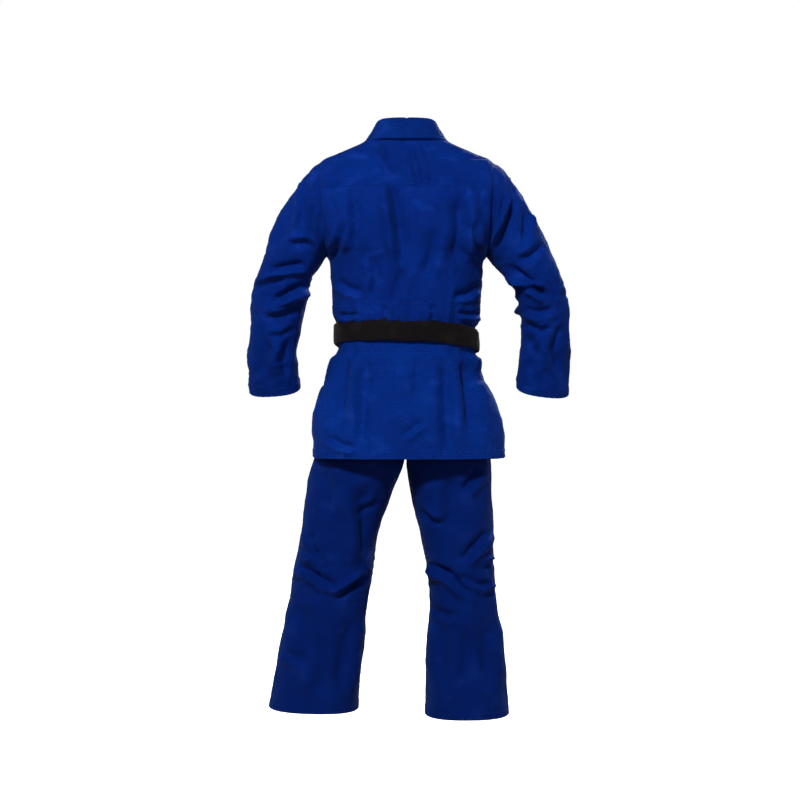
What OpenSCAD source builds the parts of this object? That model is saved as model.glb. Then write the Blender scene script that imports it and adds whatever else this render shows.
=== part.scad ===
// Martial arts uniform, tied and filled as if worn: jacket, belt and drawstring trousers.
// Z is up, the front faces -Y, the wearer's left is +X, the origin is the middle of the waist.

/* [Jacket] */
// Thickness of the jacket cloth
jacket_t = 3; // [2:0.5:4]
// Height of the shoulder points above the waist
shoulder_z = 417; // [412:1:422]
// Height of the underarm above the waist
armpit_z = 190; // [184:1:196]
// Height of the neck hole above the waist
neck_z = 476; // [470:1:480]
// Height of the standing collar at the back
collar_h = 46; // [36:1:52]
// Width of the collar and lapel band
lapel_w = 46; // [38:1:52]
// Hem of the jacket skirt, below the waist
skirt_hem_z = -316; // [-322:1:-308]
// Lower edge of the shoulder patches
patch_z = 350; // [335:1:365]

/* [Belt] */
// Width of the belt
belt_w = 48; // [42:1:52]
// Thickness of the belt
belt_t = 3.6; // [3:0.2:4]
// Length of each hanging belt end
belt_end_l = 215; // [160:5:230]

/* [Trousers] */
// Thickness of the trouser cloth
trouser_t = 2; // [1.5:0.5:2.5]
// Height of the knee hinges
knee_z = -600; // [-605:1:-595]
// Height of the hip hinge
hip_z = -130; // [-134:1:-126]

/* [Hidden] */

LEFT = 1;
RIGHT = -1;
jacket_blue = [0.02, 0.16, 0.55];
trouser_blue = [0.01, 0.12, 0.42];
belt_black = [0.1, 0.08, 0.1];
cord_white = [0.9, 0.9, 0.88];

gap = 0.4;              // air between two pieces that meet edge to edge
layer_gap = 1.4;        // air between two layers of cloth
roundness = 2.4;        // exponent of every rounded section
top_edge_z = -64;       // the jacket panels end here and the skirt starts
skirt_top_z = -66;
skirt_gap = 3;          // half the open slit at each side vent
hem_h = 18;             // depth of a turned hem
hem_t = 5;              // a turned hem is thicker than the cloth
lapel_t = 3;            // thickness of the lapel band
under_layer = 2 * layer_gap + jacket_t + lapel_t;   // the right front lies this far under the left
nest = 5.6;             // how far a lower tube sits inside the upper tube at a joint
sides = 24;             // facets around a sleeve or leg

// Half width of the jacket at the side seam, by height
jacket_side = [
    [-64, 171], [5, 170], [22, 172], [40, 180], [75, 184], [120, 189], [170, 189],
    [190, 200], [417, 212], [440, 163], [465, 110], [476, 92]
];
// Half depth of the jacket at the back, and at the front
jacket_back = [
    [-64, 119], [5, 118], [60, 124], [150, 134], [250, 138], [330, 132],
    [390, 104], [417, 84], [440, 72], [465, 62], [476, 58]
];
jacket_front = [
    [-64, 118], [22, 118], [60, 124], [150, 136], [250, 140], [330, 128],
    [390, 98], [417, 78], [440, 62], [465, 48], [476, 40]
];
// Half width and half depths of the skirt, by height
skirt_side = [
    [-316, 241], [-281, 240], [-240, 242], [-200, 231], [-147, 211], [-110, 196], [-84, 190], [-66, 180]
];
skirt_back = [[-316, 176], [-222, 168], [-147, 151], [-66, 125]];
skirt_front = [[-316, 188], [-222, 170], [-147, 150], [-66, 125]];
// Half width and half depth of the trouser seat
seat_side = [[-150, 179], [-100, 171], [-64, 162], [-20, 160]];
seat_depth = [[-150, 128], [-100, 119], [-64, 104], [-20, 101]];
// Where the left front edge runs over the chest, by height: its distance right of the middle
front_edge = [[-64, 104], [20, 92], [120, 52], [215, 0], [330, -52], [417, -68], [476, -76]];

// Sleeve stations from cuff to shoulder: inner x and z, outer x and z, middle y, half depth, lean
left_arm = [
    [270, -143, 398, -152, -72, 60, 18], [277, -70, 398, -72, -45, 60, 18],
    [266, 5, 391, 5, -18, 62, 10], [251, 72, 384, 88, -5, 64, 0],
    [238, 130, 366, 150, 0, 70, 0], [222, 152, 338, 225, 0, 80, 0],
    [208, 176, 280, 340, 0, 88, 0], [202, 188, 236, 399, 0, 90, 0],
    [200, armpit_z, 212, shoulder_z, 0, 90, 0]
];
right_arm = [
    [-281, -146, -410, -157, -72, 60, 18], [-286, -70, -411, -72, -45, 60, 18],
    [-290, 5, -409, 5, -18, 62, 10], [-276, 72, -399, 88, -5, 64, 0],
    [-256, 130, -377, 150, 0, 70, 0], [-232, 152, -343, 225, 0, 80, 0],
    [-211, 176, -283, 335, 0, 88, 0], [-203, 188, -236, 399, 0, 90, 0],
    [-200, armpit_z, -212, shoulder_z, 0, 90, 0]
];
elbow = 3;
// Leg stations from hem to hip
left_leg = [
    [120, -935, 338, -930, 22, 108, 0], [112, -800, 316, -800, 16, 106, 0],
    [96, -690, 292, -690, 8, 105, 0], [82, knee_z, 278, knee_z, 0, 105, 0],
    [72, -515, 262, -515, 0, 107, 0], [40, -410, 247, -410, 0, 110, 0],
    [10, -325, 232, -325, 0, 112, 0], [6, -240, 194, -240, 0, 109, 0],
    [8, -140, 153, -140, 0, 98, 0]
];
right_leg = [
    [-47, -950, -254, -948, 22, 106, 0], [-55, -800, -238, -800, 16, 105, 0],
    [-59, -690, -226, -690, 8, 105, 0], [-54, knee_z, -219, knee_z, 0, 105, 0],
    [-36, -515, -216, -515, 0, 107, 0], [-12, -410, -213, -410, 0, 110, 0],
    [-6, -325, -209, -325, 0, 112, 0], [-6, -240, -192, -240, 0, 109, 0],
    [-8, -140, -153, -140, 0, 98, 0]
];
knee = 3;

// Rounded cosine and sine, for a superellipse section
function sharp(v, n) = sign(v) * pow(abs(v), 2 / n);
function rc(angle, n = roundness) = sharp(cos(angle), n);
function rs(angle, n = roundness) = sharp(sin(angle), n);
function mix(a, b, t) = a + (b - a) * t;
function smooth(t) = let (c = min(max(t, 0), 1)) c * c * (3 - 2 * c);
function blend_row(rows, s) =
    let (i = min(floor(max(s, 0)), len(rows) - 2)) mix(rows[i], rows[i + 1], s - i);
function steps(n) = [for (i = [0:n]) i / n];

// A solid between two grids of points. Rows rise, columns run counterclockwise seen from above.
function skin(rows, cols, shift, wrap, out) = [
    for (i = [0:rows - 2], j = [0:wrap - 1])
        let (a = shift + i * cols + j, b = shift + i * cols + (j + 1) % cols, c = b + cols, d = a + cols)
            each out ? [[a, d, c], [a, c, b]] : [[a, b, c], [a, c, d]]
];
function rims(rows, cols, wrap) =
    let (n = rows * cols, top = (rows - 1) * cols)
    [for (j = [0:wrap - 1]) let (k = (j + 1) % cols)
        each [[j, k, n + k], [j, n + k, n + j],
              [top + k, top + j, n + top + j], [top + k, n + top + j, n + top + k]]];
function edges(rows, cols) =
    let (n = rows * cols)
    [for (i = [0:rows - 2]) let (a = i * cols, d = a + cols, b = d - 1, c = d + cols - 1)
        each [[d, a, n + a], [d, n + a, n + d], [b, c, n + c], [b, n + c, n + b]]];
module cloth(outer, inner, closed = false) {
    rows = len(outer);
    cols = len(outer[0]);
    wrap = closed ? cols : cols - 1;
    points = concat([for (r = outer) each r], [for (r = inner) each r]);
    faces = concat(
        skin(rows, cols, 0, wrap, true), skin(rows, cols, rows * cols, wrap, false),
        rims(rows, cols, wrap), closed ? [] : edges(rows, cols));
    polyhedron(points, faces, convexity = 6);
}

// Half depth of the armhole at a height
function armhole(z) =
    let (h = (shoulder_z - armpit_z) / 2, v = abs(z - armpit_z - h) / h)
    v >= 1 ? 0 : 90 * pow(1 - pow(v, roundness), 1 / roundness);

// Depth of the jacket surface at x and z: +1 is the back, -1 the front
function jacket_y(face, x, z, inset = 0) =
    let (half = lookup(z, jacket_side) - inset,
         deep = lookup(z, face > 0 ? jacket_back : jacket_front) - inset,
         hole = max(armhole(z) - inset, 0),
         r = min(abs(x) / half, 1))
    face * (hole + (deep - hole) * pow(1 - pow(r, roundness), 1 / roundness));
function jacket_point(face, x, z, inset) = [x, jacket_y(face, x, z, inset), z];
function skirt_y(face, x, z, inset = 0) =
    let (half = lookup(z, skirt_side) - inset,
         deep = lookup(z, face > 0 ? skirt_back : skirt_front) - inset,
         r = min(abs(x) / half, 1))
    face * deep * pow(1 - pow(r, 2.8), 1 / 2.8);

// Columns between two x values, closer together near the side seams
function spread(a, b, half, t) = let (p = asin(a / half), q = asin(b / half)) half * sin(mix(p, q, t));

jacket_rows = [
    -64, -45, -20, 5, 20, 45, 75, 120, 170, armpit_z, 200, 225, 265, 305, 345, 380, 402, shoulder_z,
    428, 440, 452, 465, neck_z
];

module upper_back() {
    function row(z, inset) =
        let (half = lookup(z, jacket_side) - inset)
        [for (t = steps(14)) jacket_point(1, spread(half, -half, half, t), z, inset)];
    color(jacket_blue)
        cloth([for (z = jacket_rows) row(z, 0)], [for (z = jacket_rows) row(z, jacket_t)]);
}

// One front panel, from its side seam to its front edge. The right one lies underneath.
module front_panel(side) {
    under = side == LEFT ? 0 : under_layer;
    function row(z, inset) =
        let (half = lookup(z, jacket_side) - inset, edge = min(lookup(z, front_edge), half - 6))
        [for (t = steps(12))
            let (x = side == LEFT ? spread(-edge, half, half, t) : spread(-half, edge, half, t),
                 p = jacket_point(-1, x, z, inset))
            [p.x, p.y + (abs(p.y) > under + 1 ? under : 0), p.z]];
    color(jacket_blue)
        translate([0, -gap, 0])
            cloth([for (z = jacket_rows) row(z, 0)], [for (z = jacket_rows) row(z, jacket_t)]);
}

// Reinforcement over one shoulder, back and front, down to the patch line
module shoulder_patch(side) {
    function x_at(face, z, t) =
        let (far = min(lookup(z, jacket_side) - 2, 205),
             near = face > 0 ? 2 : 4 + lapel_w - lookup(z, front_edge))
        side * (side * face > 0 ? mix(far, near, t) : mix(near, far, t));
    function row(face, z, lift) = [
        for (t = steps(10)) let (x = x_at(face, z, t)) [x, jacket_y(face, x, z) + face * lift, z + lift]];
    back_rows = [for (t = steps(10)) mix(patch_z, neck_z - 12, t)];
    front_rows = [for (t = steps(10)) mix(patch_z - 60, shoulder_z + 18, t)];
    color(jacket_blue) {
        cloth([for (z = back_rows) row(1, z, 4.4)], [for (z = back_rows) row(1, z, 2.4)]);
        cloth([for (z = front_rows) row(-1, z, 4.8)], [for (z = front_rows) row(-1, z, 2.8)]);
    }
}

// Standing collar behind the neck, a half ring that narrows upwards
module collar_back() {
    function ring(t, inset) = [
        for (u = steps(16)) let (angle = mix(-8, 188, u))
            [(mix(98, 73, t) - inset) * rc(angle, 2.2), 12 + (mix(60, 50, t) - inset) * rs(angle, 2.2),
             neck_z + gap + collar_h * t + 4 * sin(angle) * t]];
    color(jacket_blue)
        cloth([for (t = steps(4)) ring(t, 0)], [for (t = steps(4)) ring(t, 7)]);
}

// The lapel band on one front edge, from the side of the neck to the belt
module lapel(side) {
    base = (side == LEFT ? gap : gap - under_layer) + layer_gap;
    heights = [for (z = jacket_rows) if (z < 405) z];
    function row(z, out) = [
        for (t = steps(6))
            let (along = lapel_w * (side == LEFT ? t : 1 - t), x = side * (along - lookup(z, front_edge)))
            [x, jacket_y(-1, x, z) - base - out, z]];
    color(jacket_blue) cloth([for (z = heights) row(z, lapel_t)], [for (z = heights) row(z, 0)]);
}

// Reinforcing strip inside the belt line at the back, up to the waist seam
module waist_band() {
    heights = [24, 34, 46, 58];
    function row(z, inset) = [
        for (t = steps(14)) let (half = lookup(z, jacket_side), x = spread(half - 3, 3 - half, half, t))
            [x, jacket_y(1, x, z) + inset, z]];
    color(jacket_blue) cloth([for (z = heights) row(z, 4.2)], [for (z = heights) row(z, 2.2)]);
}

// A small folded diamond under the arm
module armpit_gusset(side) {
    low = armpit_z - 34;
    wide = 36;
    x0 = 192;
    color(jacket_blue)
        translate([0, wide / 2, 0]) rotate([90, 0, 0]) linear_extrude(wide)
            polygon([[side * x0, low], [side * (x0 + 2), low], [side * (x0 + 5.5), armpit_z - 12],
                     [side * (x0 + 9), low + 12], [side * (x0 + 11), low + 12],
                     [side * (x0 + 6.5), armpit_z - 6], [side * (x0 + 4.5), armpit_z - 6]]);
}

// A point on a sleeve or leg: s counts stations upwards from its lower end
function limb_point(rows, s, angle, inset) =
    let (q = blend_row(rows, s), across = [q[2] - q[0], q[3] - q[1]], long = norm(across),
         a = long / 2 - inset, b = q[5] - inset, u = across / long,
         side = sign(q[2] - q[0]), c = rc(side * angle) * a, d = rs(side * angle) * b)
    [(q[0] + q[2]) / 2 + u.x * c, q[4] + d * cos(q[6]), (q[1] + q[3]) / 2 + u.y * c - d * sin(q[6])];

// A tube of cloth between two levels; low, high and inset are functions of the angle or level
module tube(rows, thick, low, high, inset, rings = 9) {
    function ring(t, extra) = [
        for (k = [0:sides - 1]) let (angle = k * 360 / sides, s = mix(low(angle), high(angle), t))
            limb_point(rows, s, angle, inset(s) + extra)];
    cloth([for (t = steps(rings)) ring(t, 0)], [for (t = steps(rings)) ring(t, thick)], true);
}

// How much of a joint's crease side an angle is on, from 0 to 1
function crease(rows, angle, face) =
    let (side = sign(rows[0][2] - rows[0][0])) max(0, face * rs(side * angle));

// The piece above an elbow or knee, cut back on the crease side
module upper_tube(rows, joint, thick, face, notch) {
    tube(rows, thick, function (angle) joint + 0.01 + notch * 1.03 * crease(rows, angle, face),
         function (angle) len(rows) - 1, function (s) 0, 12);
}
// The piece below, with its top nested inside
module lower_tube(rows, joint, start, thick, face, notch) {
    tube(rows, thick, function (angle) start,
         function (angle) joint + 0.1 + (notch - 0.15) * crease(rows, angle, face),
         function (s) nest * smooth((s - joint + 0.8) * 1.6), 12);
}
module end_band(rows, stop, thick) {
    tube(rows, thick, function (angle) 0, function (angle) stop, function (s) 0, 1);
}

elbow_notch = 1.08;     // in stations
knee_notch = 1.24;
function arm(side) = side == LEFT ? left_arm : right_arm;
function leg(side) = side == LEFT ? left_leg : right_leg;

module upper_sleeve(side) color(jacket_blue) upper_tube(arm(side), elbow, jacket_t, -1, elbow_notch);
module lower_sleeve(side)
    color(jacket_blue) lower_tube(arm(side), elbow, 0.25, jacket_t, -1, elbow_notch);
module cuff(side) color(jacket_blue) end_band(arm(side), 0.248, hem_t);
module thigh(side) color(trouser_blue) upper_tube(leg(side), knee, trouser_t, 1, knee_notch);
module shin(side)
    color(trouser_blue) lower_tube(leg(side), knee, 0.15, trouser_t, 1, knee_notch);
module trouser_hem(side) color(trouser_blue) end_band(leg(side), 0.148, hem_t - 1);

// A second layer over the front of the knee, sewn on above and below it
module knee_patch(side) {
    dir = side == LEFT ? 1 : -1;
    function row(s, inset) = [
        for (t = steps(10)) limb_point(leg(side), s, dir * mix(205, 335, dir > 0 ? t : 1 - t), inset)];
    levels = [for (t = steps(8)) mix(knee - 1.4, knee + 1.6, t)];
    color(trouser_blue) cloth([for (s = levels) row(s, -3.6)], [for (s = levels) row(s, -1.6)]);
}

// Skirt cloth on one face between two x limits, which are fractions of the half width
module skirt_panel(face, from, to, low, high, thick, shift, rows = 8) {
    levels = [for (t = steps(rows)) mix(low, high, t)];
    function row(z, inset) =
        let (half = lookup(z, skirt_side))
        [for (t = steps(14))
            let (x = spread(from(z, half), to(z, half), half, t), y = skirt_y(face, x, z))
            [x * (half - inset) / half, y - face * min(shift + inset, abs(y) - skirt_gap + 1 - inset / 9), z]];
    cloth([for (z = levels) row(z, 0)], [for (z = levels) row(z, thick)]);
}
side_in = 0.06;         // a panel's edge stops this far short of the widest point
hem_top_z = skirt_hem_z + hem_h;
module back_skirt() {
    color(jacket_blue)
        skirt_panel(1, function (z, half) half - side_in, function (z, half) side_in - half,
                    hem_top_z + 0.2, skirt_top_z, jacket_t, 0);
}
module back_skirt_hem() {
    color(jacket_blue)
        skirt_panel(1, function (z, half) half - side_in, function (z, half) side_in - half,
                    skirt_hem_z, hem_top_z, hem_t, 0, 1);
}
function skirt_edge(z) = mix(104, 128, (skirt_top_z - z) / (skirt_top_z - skirt_hem_z));
module front_skirt(side, low, high, thick, rows) {
    shift = side == LEFT ? 0 : under_layer;
    if (side == LEFT)
        skirt_panel(-1, function (z, half) -skirt_edge(z), function (z, half) half - side_in,
                    low, high, thick, shift, rows);
    else
        skirt_panel(-1, function (z, half) side_in - half, function (z, half) skirt_edge(z),
                    low, high, thick, shift, rows);
}
module skirt_lapel(side) {
    base = layer_gap - (side == LEFT ? 0 : under_layer);
    heights = [for (t = steps(8)) mix(skirt_hem_z, skirt_top_z - 1, t)];
    function row(z, out) = [
        for (t = steps(6))
            let (along = lapel_w * (side == LEFT ? t : 1 - t), x = side * (along - skirt_edge(z)))
            [x, skirt_y(-1, x, z) - base - out, z]];
    color(jacket_blue) cloth([for (z = heights) row(z, lapel_t)], [for (z = heights) row(z, 0)]);
}
// Small square of cloth that strengthens the top of a side slit, on the back skirt
module vent_patch(side) {
    levels = [for (t = steps(3)) mix(-118, -70, t)];
    function row(z, out) =
        let (half = lookup(z, skirt_side), p = side * (half - 5), q = side * (half - 16))
        [for (t = steps(5))
            let (x = side > 0 ? mix(p, q, t) : mix(q, p, t)) [x, skirt_y(1, x, z) + out, z]];
    color(jacket_blue) cloth([for (z = levels) row(z, 4)], [for (z = levels) row(z, 2)]);
}

// One turn of the belt: higher at the back and on the left
module belt_wrap(layer) {
    half = 174 + layer * (belt_t + gap);
    deep = 125.5 + layer * (belt_t + gap);
    function ring(t, out) = [
        for (k = [0:35]) let (angle = k * 10)
            [(half + out) * rc(angle), (deep + out) * rs(angle),
             -20 + 15 * sin(angle) + 9 * cos(angle) + 2 - 4 * layer + belt_w * (t - 0.5)]];
    color(belt_black) cloth([for (t = steps(2)) ring(t, belt_t)], [for (t = steps(2)) ring(t, 0)], true);
}

// The flat knot in front: two crossing folds
module belt_knot() {
    y = -(125.5 + 2 * belt_t + gap + 0.5);
    color(belt_black)
        translate([0, y, -30]) rotate([90, 0, 0]) linear_extrude(22)
            offset(6, $fn = 24) offset(-6)
                polygon([[-36, -4], [-24, -20], [24, -20], [36, -4], [30, 20], [-30, 20]]);
}
module belt_end(side) {
    top = -74;
    function row(t, out) =
        let (z = top - belt_end_l * t, mid = side * (30 + 20 * t))
        [for (u = steps(2)) let (x = mid + (u - 0.5) * (belt_w - 4))
            [x, skirt_y(-1, mid, z) - 6 - out, z]];
    levels = [for (t = steps(6)) 1 - t];
    color(belt_black) cloth([for (t = levels) row(t, belt_t)], [for (t = levels) row(t, 0)]);
}

// Rings around the trouser waist, from a list of [z, outward step]
function seat_ring(z, inset) = [
    for (k = [0:sides - 1]) let (angle = k * 360 / sides)
        [(lookup(z, seat_side) - inset) * rc(angle), (lookup(z, seat_depth) - inset) * rs(angle), z]];
module trouser_seat() {
    levels = [for (t = steps(7)) mix(-150, -20.4, t)];
    color(trouser_blue)
        cloth([for (z = levels) seat_ring(z, 0)], [for (z = levels) seat_ring(z, trouser_t)], true);
}
// The waistband is a tube of cloth that the drawstring runs through
band_low = -20;
band_high = 20;
module trouser_waistband() {
    color(trouser_blue) difference() {
        cloth([for (z = [band_low, band_high]) seat_ring(z, 0)],
              [for (z = [band_low, band_high]) seat_ring(z, 8)], true);
        cloth([for (z = [band_low + 4, band_high - 4]) seat_ring(z, 1.8)],
              [for (z = [band_low + 4, band_high - 4]) seat_ring(z, 6.2)], true);
    }
}
module drawstring() {
    color(cord_white)
        cloth([for (z = [-6, 6]) seat_ring(z, 2.8)], [for (z = [-6, 6]) seat_ring(z, 5.2)], true);
}
// Cloth loops inside the front of the waistband
module drawstring_loops() {
    color(trouser_blue)
        for (x = [-60, -20, 20, 60])
            translate([x, -84, -4]) difference() {
                cube([10, 6, 26], center = true);
                cube([12, 3, 20], center = true);
            }
}
// The diamond between the two legs
module crotch_gusset() {
    color(trouser_blue)
        rotate([90, 0, 90]) translate([0, 0, -2]) linear_extrude(4)
            polygon([[-52, -286], [0, -322], [52, -286], [0, -250]]);
}

upper_back();
front_panel(LEFT);  // left_front
front_panel(RIGHT);  // right_front
shoulder_patch(LEFT);  // left_shoulder_patch
shoulder_patch(RIGHT);  // right_shoulder_patch
collar_back();
lapel(LEFT);  // left_lapel
lapel(RIGHT);  // right_lapel
waist_band();
armpit_gusset(LEFT);  // left_armpit_gusset
armpit_gusset(RIGHT);  // right_armpit_gusset
upper_sleeve(LEFT);  // left_upper_sleeve
lower_sleeve(LEFT);  // left_lower_sleeve
cuff(LEFT);  // left_cuff
upper_sleeve(RIGHT);  // right_upper_sleeve
lower_sleeve(RIGHT);  // right_lower_sleeve
cuff(RIGHT);  // right_cuff
back_skirt();
back_skirt_hem();
vent_patch(LEFT);  // left_vent_patch
vent_patch(RIGHT);  // right_vent_patch
color(jacket_blue) front_skirt(LEFT, hem_top_z + 0.2, skirt_top_z, jacket_t, 7);  // left_front_skirt
color(jacket_blue) front_skirt(RIGHT, hem_top_z + 0.2, skirt_top_z, jacket_t, 7);  // right_front_skirt
color(jacket_blue) front_skirt(LEFT, skirt_hem_z, hem_top_z, jacket_t - 0.2, 1);  // left_skirt_hem
color(jacket_blue) front_skirt(RIGHT, skirt_hem_z, hem_top_z, hem_t, 1);  // right_skirt_hem
skirt_lapel(LEFT);  // left_skirt_lapel
skirt_lapel(RIGHT);  // right_skirt_lapel
belt_wrap(0);  // belt_inner_wrap
belt_wrap(1);  // belt_outer_wrap
belt_knot();
belt_end(LEFT);  // left_belt_end
belt_end(RIGHT);  // right_belt_end
trouser_seat();
trouser_waistband();
drawstring();
drawstring_loops();
crotch_gusset();
thigh(LEFT);  // left_thigh
shin(LEFT);  // left_shin
knee_patch(LEFT);  // left_knee_patch
trouser_hem(LEFT);  // left_trouser_hem
thigh(RIGHT);  // right_thigh
shin(RIGHT);  // right_shin
knee_patch(RIGHT);  // right_knee_patch
trouser_hem(RIGHT);  // right_trouser_hem
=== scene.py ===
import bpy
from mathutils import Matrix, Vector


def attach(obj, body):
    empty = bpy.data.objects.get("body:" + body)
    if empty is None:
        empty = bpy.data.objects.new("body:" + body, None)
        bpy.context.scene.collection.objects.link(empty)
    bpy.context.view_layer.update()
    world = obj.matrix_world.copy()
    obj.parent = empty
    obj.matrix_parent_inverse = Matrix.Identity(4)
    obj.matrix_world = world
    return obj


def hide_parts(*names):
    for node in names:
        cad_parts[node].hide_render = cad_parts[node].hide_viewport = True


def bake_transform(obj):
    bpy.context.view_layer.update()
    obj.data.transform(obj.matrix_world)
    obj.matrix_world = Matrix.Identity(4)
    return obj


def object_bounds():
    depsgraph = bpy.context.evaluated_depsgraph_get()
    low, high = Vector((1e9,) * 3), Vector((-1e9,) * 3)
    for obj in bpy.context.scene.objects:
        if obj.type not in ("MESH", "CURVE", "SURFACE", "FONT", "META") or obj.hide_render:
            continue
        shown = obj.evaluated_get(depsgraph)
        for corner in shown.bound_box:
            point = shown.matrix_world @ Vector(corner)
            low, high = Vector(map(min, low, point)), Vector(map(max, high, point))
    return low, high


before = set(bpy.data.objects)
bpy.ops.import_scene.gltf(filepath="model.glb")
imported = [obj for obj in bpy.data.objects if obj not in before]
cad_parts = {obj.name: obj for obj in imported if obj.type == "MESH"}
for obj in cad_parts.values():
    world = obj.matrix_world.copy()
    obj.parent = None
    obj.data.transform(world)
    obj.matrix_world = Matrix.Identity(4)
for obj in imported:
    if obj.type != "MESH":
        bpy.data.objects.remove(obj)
CAD_BOX = [list(corner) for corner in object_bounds()]

import math

import bpy
import numpy as np
from mathutils import Vector

# Martial arts uniform in its worn shape. Lengths in this script are millimetres until a mesh is made.
# +Z is up, the front faces -Y, the wearer's left is +X, the origin is the middle of the waist.
MM = 0.001
FLOOR_Z = -1067
LEFT, RIGHT = 1, -1
BACK, FRONT = 1, -1
SIDE_NAME = {LEFT: "left", RIGHT: "right"}
FOLD_DEPTH = 2.2        # scale of every listed fold


# ---------------------------------------------------------------- camera
def make_camera():
    data = bpy.data.cameras.new("camera")
    data.lens = 72
    camera = bpy.data.objects.new("camera", data)
    camera.location = (0.016, 4.0, -0.175)
    camera.rotation_euler = (math.radians(90), 0, math.radians(180))
    bpy.context.scene.collection.objects.link(camera)
    bpy.context.scene.camera = camera


make_camera()


# ---------------------------------------------------------------- numbers
def smooth(t):
    t = np.clip(t, 0, 1)
    return t * t * (3 - 2 * t)


def mix(a, b, t):
    return a + (b - a) * t


def curve(table, v, column=1):
    """The smooth value at v of a table whose rows are [v, value, ...], rising in v."""
    rows = np.asarray(table, float)
    x, y = rows[:, 0], rows[:, column]
    d = np.diff(y) / np.diff(x)
    turn = d[:-1] * d[1:]
    inner = np.where(turn > 0, 2 * turn / np.where(turn > 0, d[:-1] + d[1:], 1), 0)
    slope = np.concatenate([d[:1], inner, d[-1:]])
    v = np.clip(v, x[0], x[-1])
    i = np.clip(np.searchsorted(x, v) - 1, 0, len(x) - 2)
    h = x[i + 1] - x[i]
    s = (v - x[i]) / h
    start = (2 * s**3 - 3 * s**2 + 1) * y[i] + (s**3 - 2 * s**2 + s) * h * slope[i]
    return start + (3 * s**2 - 2 * s**3) * y[i + 1] + (s**3 - s**2) * h * slope[i + 1]


def route(points, count, closed=False):
    """Points evenly spaced along a smooth curve through the given ones."""
    p = np.asarray(points, float)
    if closed:
        p = np.vstack([p[-1], p, p[0], p[1]])
    else:
        p = np.vstack([2 * p[0] - p[1], p, 2 * p[-1] - p[-2]])
    t = np.linspace(0, 1, 24, endpoint=False)[:, None]
    dense = [
        0.5 * (2 * b + (c - a) * t + (2 * a - 5 * b + 4 * c - d) * t**2 + (3 * b - a - 3 * c + d) * t**3)
        for a, b, c, d in zip(p, p[1:], p[2:], p[3:])
    ]
    line = np.vstack(dense + [p[-2]])
    length = np.concatenate([[0], np.cumsum(np.linalg.norm(np.diff(line, axis=0), axis=1))])
    at = np.linspace(0, length[-1], count, endpoint=not closed)
    return np.stack([np.interp(at, length, line[:, k]) for k in range(3)], 1)


LATTICE = np.random.RandomState(11).rand(128, 128)


def noise(u, v):
    """Smooth noise from -1 to 1 with cells of size 1."""
    i, j = np.floor(u).astype(int), np.floor(v).astype(int)
    a, b = smooth(u - i), smooth(v - j)
    corner = lambda p, q: LATTICE[(i + p) % 128, (j + q) % 128]
    low = mix(corner(0, 0), corner(1, 0), a)
    return 2 * mix(low, mix(corner(0, 1), corner(1, 1), a), b) - 1


def crinkle(u, v, size=1.0):
    """Soft rumples: ridges that wander, with a finer set on top."""
    u, v = u / size + 0.7 * noise(u / size / 2.3 + 9, v / size / 2.3), v / size
    v = v + 0.7 * noise(u / 2.1, v / 2.1 + 31)
    coarse = 1 - 2 * np.abs(noise(u, v)) ** 0.8
    fine = 1 - 2 * np.abs(noise(2.3 * u + 5, 2.3 * v + 17)) ** 0.9
    return 0.7 * coarse + 0.3 * fine


def fold(a, b, path, width, depth, ridge=0.45, taper=0.28):
    """Height of a fold on a surface with coordinates a, b: a valley along the path, fading at both ends,
    with a soft ridge on the left of the path's direction (on the right if ridge is negative)."""
    p = np.asarray(path, float)
    lengths = np.linalg.norm(np.diff(p, axis=0), axis=1)
    near = np.full(np.shape(a), 1e9)
    along = np.zeros(np.shape(a))
    beside = np.zeros(np.shape(a))
    done = 0
    for start, end, length in zip(p, p[1:], lengths):
        d = (end - start) / length
        s = np.clip((a - start[0]) * d[0] + (b - start[1]) * d[1], 0, length)
        x, y = a - start[0] - s * d[0], b - start[1] - s * d[1]
        distance = np.hypot(x, y)
        closer = distance < near
        near = np.where(closer, distance, near)
        along = np.where(closer, done + s, along)
        beside = np.where(closer, distance * np.sign(d[0] * y - d[1] * x), beside)
        done += length
    t = along / done
    fade = smooth(t / taper) * smooth((1 - t) / taper)
    bump = np.exp(-((np.sign(ridge) * beside - 1.5 * width) / width) ** 2)
    return fade * depth * (abs(ridge) * bump - np.exp(-((near / width) ** 2)))


def folds(a, b, rows):
    """The sum of several folds, each [path, width, depth] or [path, width, depth, ridge]."""
    return FOLD_DEPTH * sum(fold(a, b, *row) for row in rows)


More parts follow.
